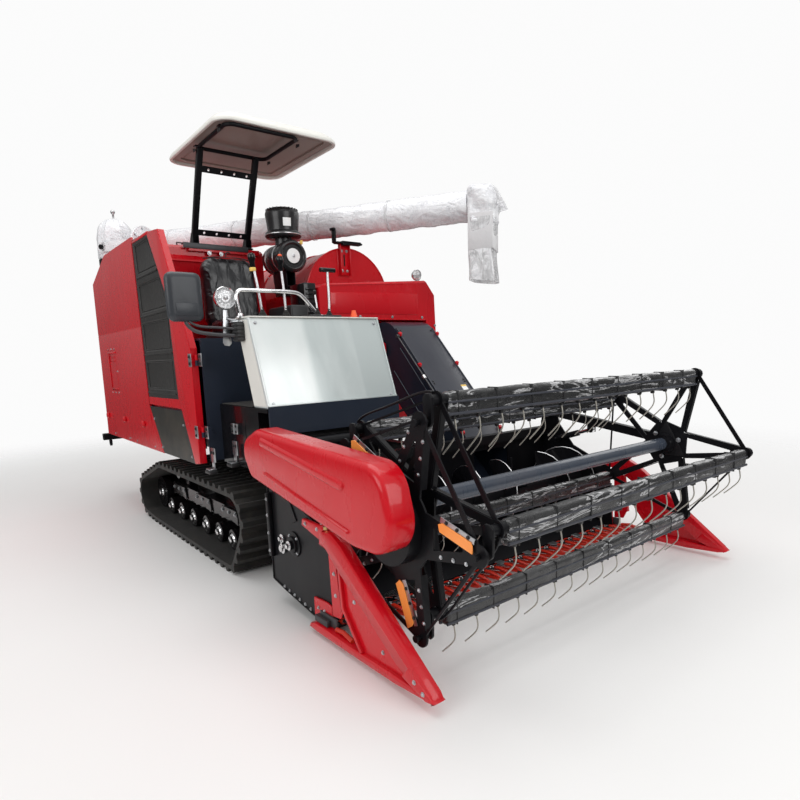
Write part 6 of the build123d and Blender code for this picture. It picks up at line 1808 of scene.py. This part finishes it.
def makeBack():
    slats = []
    for k in range(rear["ribs"]):  # tail hood ribs, bent over its crown
        y = rear["ribStart"] + rear["ribPitch"] * k
        slats.append(tube("rib", [(-1.700, y, 1.334), (-1.862, y, 1.203), (-1.8632, y, 0.770)], 0.005, 6))
    joined("tailRibs", slats).done(redFlat, "chassis")
    lamps, bodies = [], []
    for y in (-rear["lamps"], rear["lamps"]):
        bodies.append(box("lampBody", (-1.812, y - 0.045, 0.548),
                          (-1.779, y + 0.045, 0.598)).rounded(0.005, 2))
        lamps.append(box("lampLens", (-1.8205, y - 0.040, 0.553),
                         (-1.808, y + 0.040, 0.593)).rounded(0.005, 3))
    joined("tailLampBodies", bodies).done(blackPlastic, "chassis")
    joined("tailLamps", lamps).done(tailRed, "chassis")
    plateBlank = box("bluntPlate", (-1.7835, -0.110, 0.550), (-1.7795, 0.110, 0.596)).rounded(0.001)
    plateBlank.done(labelWhite, "chassis")
    flanges, bolts = [], []
    x, y = boom["start"][:2]
    for z in (1.2405, 2.0375):
        for a in [math.radians(60 * k + 15) for k in range(6)]:
            bolts.append(((x + 0.119 * math.cos(a), y + 0.119 * math.sin(a), z + 0.0118), (0, 0, 1)))
    for z in rear["hoops"]:
        flanges.append(turned("hoop", [(0.105, 0), (0.108, 0.002), (0.108, 0.012), (0.105, 0.014)],
                              (x, y, z), (0, 0, 1), 36))
    joined("augerHoops", flanges).done(redPaint, "chassis")
    # rungs up to the tank, and its ribbed lid
    (right, left), stepX = rear["steps"], rear["stepX"]
    rungs = [tube("rung", [(-1.582, right, z), (stepX, right, z), (stepX, left, z), (-1.582, left, z)],
                  0.009, 10) for z in rear["rungs"]]
    rails = [tube("rail", [(stepX, yy, 0.640), (stepX, yy, 1.780)], 0.011, 10) for yy in (right, left)]
    joined("tankSteps", rungs + rails).done(blackPaint, "chassis")
    (x0, x1), (y0, y1) = rear["lidX"], rear["lidY"]
    lid = [tube("lidRim", [(a, b, 2.020) for a, b in ((x0, y0), (x1, y0), (x1, y1), (x0, y1), (x0, y0))],
                0.006, 8)]
    lid += [box("lidRib", (-0.96, y2, 2.018), (-0.46, y2 + 0.020, 2.024)).rounded(0.003)
            for y2 in (-0.62, -0.46, -0.30)]
    joined("tankLid", lid).done(redPaint, "chassis")
    grip = tube("lidGrip", [(-0.455, -0.52, 2.019), (-0.455, -0.52, 2.050), (-0.455, -0.38, 2.050),
                            (-0.455, -0.38, 2.019)], 0.006, 8)
    grip.done(blackPlastic, "chassis")
    bolts += [((x2, y2, 2.0195), (0, 0, 1)) for x2 in (-0.975, -0.445) for y2 in (-0.735, -0.165)]
    bolts += [((-1.7805, y2, z2), (-1, 0, 0)) for y2 in (-0.60, -0.33, 0.33, 0.60)
              for z2 in (0.560, 0.586)]
    hexBolts("backBolts", bolts, 0.009, "chassis", zinc)
    tube("tankSeams", [(-1.4995, 0.118, 0.70), (-1.4995, 0.118, 1.60)], 0.003, 6).done(redFlat, "chassis")


tailRed = plastic("tailRed", (0.50, 0.010, 0.012), 0.2, 60, 0.5)
makeHubs()
makeLeftSide()
makeBack()
print("running gear and far sides dressed")


# Studio: pale floor and surround, soft boxes, camera.
studio = {"eye": (3.94, -1.99, 1.2), "heading": 52.05, "pitch": -9.67, "roll": -2.07, "lens": 26.17,
          "shiftUp": 0.0675, "floor": 36, "sky": 0.5, "mirrored": (0.05, 0.9), "backdrop": 0.97,
          "fade": (2.6, 7.5), "boxes": {"overhead": ((0.5, -0.5, 6.5), (0.3, 0.2, 0.8), (6, 5), 190),
                                        "rightBox": ((2.0, -6.5, 3.2), (0.2, 0, 1.2), (4.5, 3.0), 120),
                                        "frontBox": ((7.0, 0.5, 3.4), (0.8, 0.3, 1.0), (4.0, 3.0), 110),
                                        "leftBox": ((1.0, 6.5, 3.6), (0.2, 0.4, 1.2), (4.0, 3.0), 60)}}


def paleFloor():
    letGo()
    bpy.ops.mesh.primitive_plane_add(size=studio["floor"], location=(0, 0, 0))
    floor = Piece("floor").hold()
    f = Finish("floorFinish", shine=0.2)
    f.give("color", f.blend(f.noise(0.6, 4), (0.86, 0.85, 0.84), (0.89, 0.885, 0.875)))
    f.give("rough", f.noise(3, 4) * 0.1 + 0.55)
    reach = f.node("VectorMath", {"operation": "LENGTH"}, {0: f.here}, "Value")
    f.give("alpha", 1 - f.mask(reach, *studio["fade"]))  # the floor melts into the pale surround
    floor.thing.data.materials.append(f.material)


paleFloor()


def softBox(name, place, target, size, power):
    letGo()
    bpy.ops.object.light_add(type="AREA", location=place)
    light = bpy.context.object
    light.name = name
    light.data.shape, light.data.size, light.data.size_y = "RECTANGLE", *size
    light.data.energy = power
    light.rotation_euler = (Vector(target) - Vector(place)).to_track_quat("-Z", "Y").to_euler()


for name, setting in studio["boxes"].items():
    softBox(name, *setting)

world = bpy.data.worlds.new("studioSky")
bpy.context.scene.world = world
world.use_nodes = True
sky = world.node_tree.nodes["Background"]
nodes, link = world.node_tree.nodes, world.node_tree.links.new
seen, way = nodes.new("ShaderNodeLightPath"), nodes.new("ShaderNodeTexCoord")
height = nodes.new("ShaderNodeSeparateXYZ")
lift = nodes.new("ShaderNodeMapRange")  # reflections run from a dim horizon to a bright ceiling
lift.inputs["From Min"].default_value, lift.inputs["From Max"].default_value = -0.1, 0.9
lift.inputs["To Min"].default_value, lift.inputs["To Max"].default_value = studio["mirrored"]
link(way.outputs["Generated"], height.inputs[0])
link(height.outputs["Z"], lift.inputs["Value"])
share = None
for ray, low, high in (("Is Glossy Ray", studio["sky"], None),
                       ("Is Camera Ray", None, studio["backdrop"])):
    glow = nodes.new("ShaderNodeMapRange")  # the surround looks brighter than it lights
    link(seen.outputs[ray], glow.inputs["Value"])
    if low is None:
        link(share, glow.inputs["To Min"])
    else:
        glow.inputs["To Min"].default_value = low
    if high is None:
        link(lift.outputs["Result"], glow.inputs["To Max"])
    else:
        glow.inputs["To Max"].default_value = high
    share = glow.outputs["Result"]
link(share, sky.inputs["Strength"])
sky.inputs["Color"].default_value = (1, 1, 1, 1)

letGo()
bpy.ops.object.camera_add(location=studio["eye"])
camera = bpy.context.object
camera.data.lens, camera.data.sensor_width = studio["lens"], 36
camera.data.shift_y = studio["shiftUp"]
camera.data.clip_end = 200
heading, pitch, roll = [math.radians(studio[key]) for key in ("heading", "pitch", "roll")]
camera.rotation_euler = (Matrix.Rotation(heading, 3, "Z") @ Matrix.Rotation(math.pi / 2 + pitch, 3, "X")
                         @ Matrix.Rotation(roll, 3, "Z")).to_euler()
bpy.context.scene.camera = camera
bpy.context.scene.view_settings.view_transform = "Standard"
print("studio set")

for name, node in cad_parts.items():
    assert len(node.data.materials) > 0, name
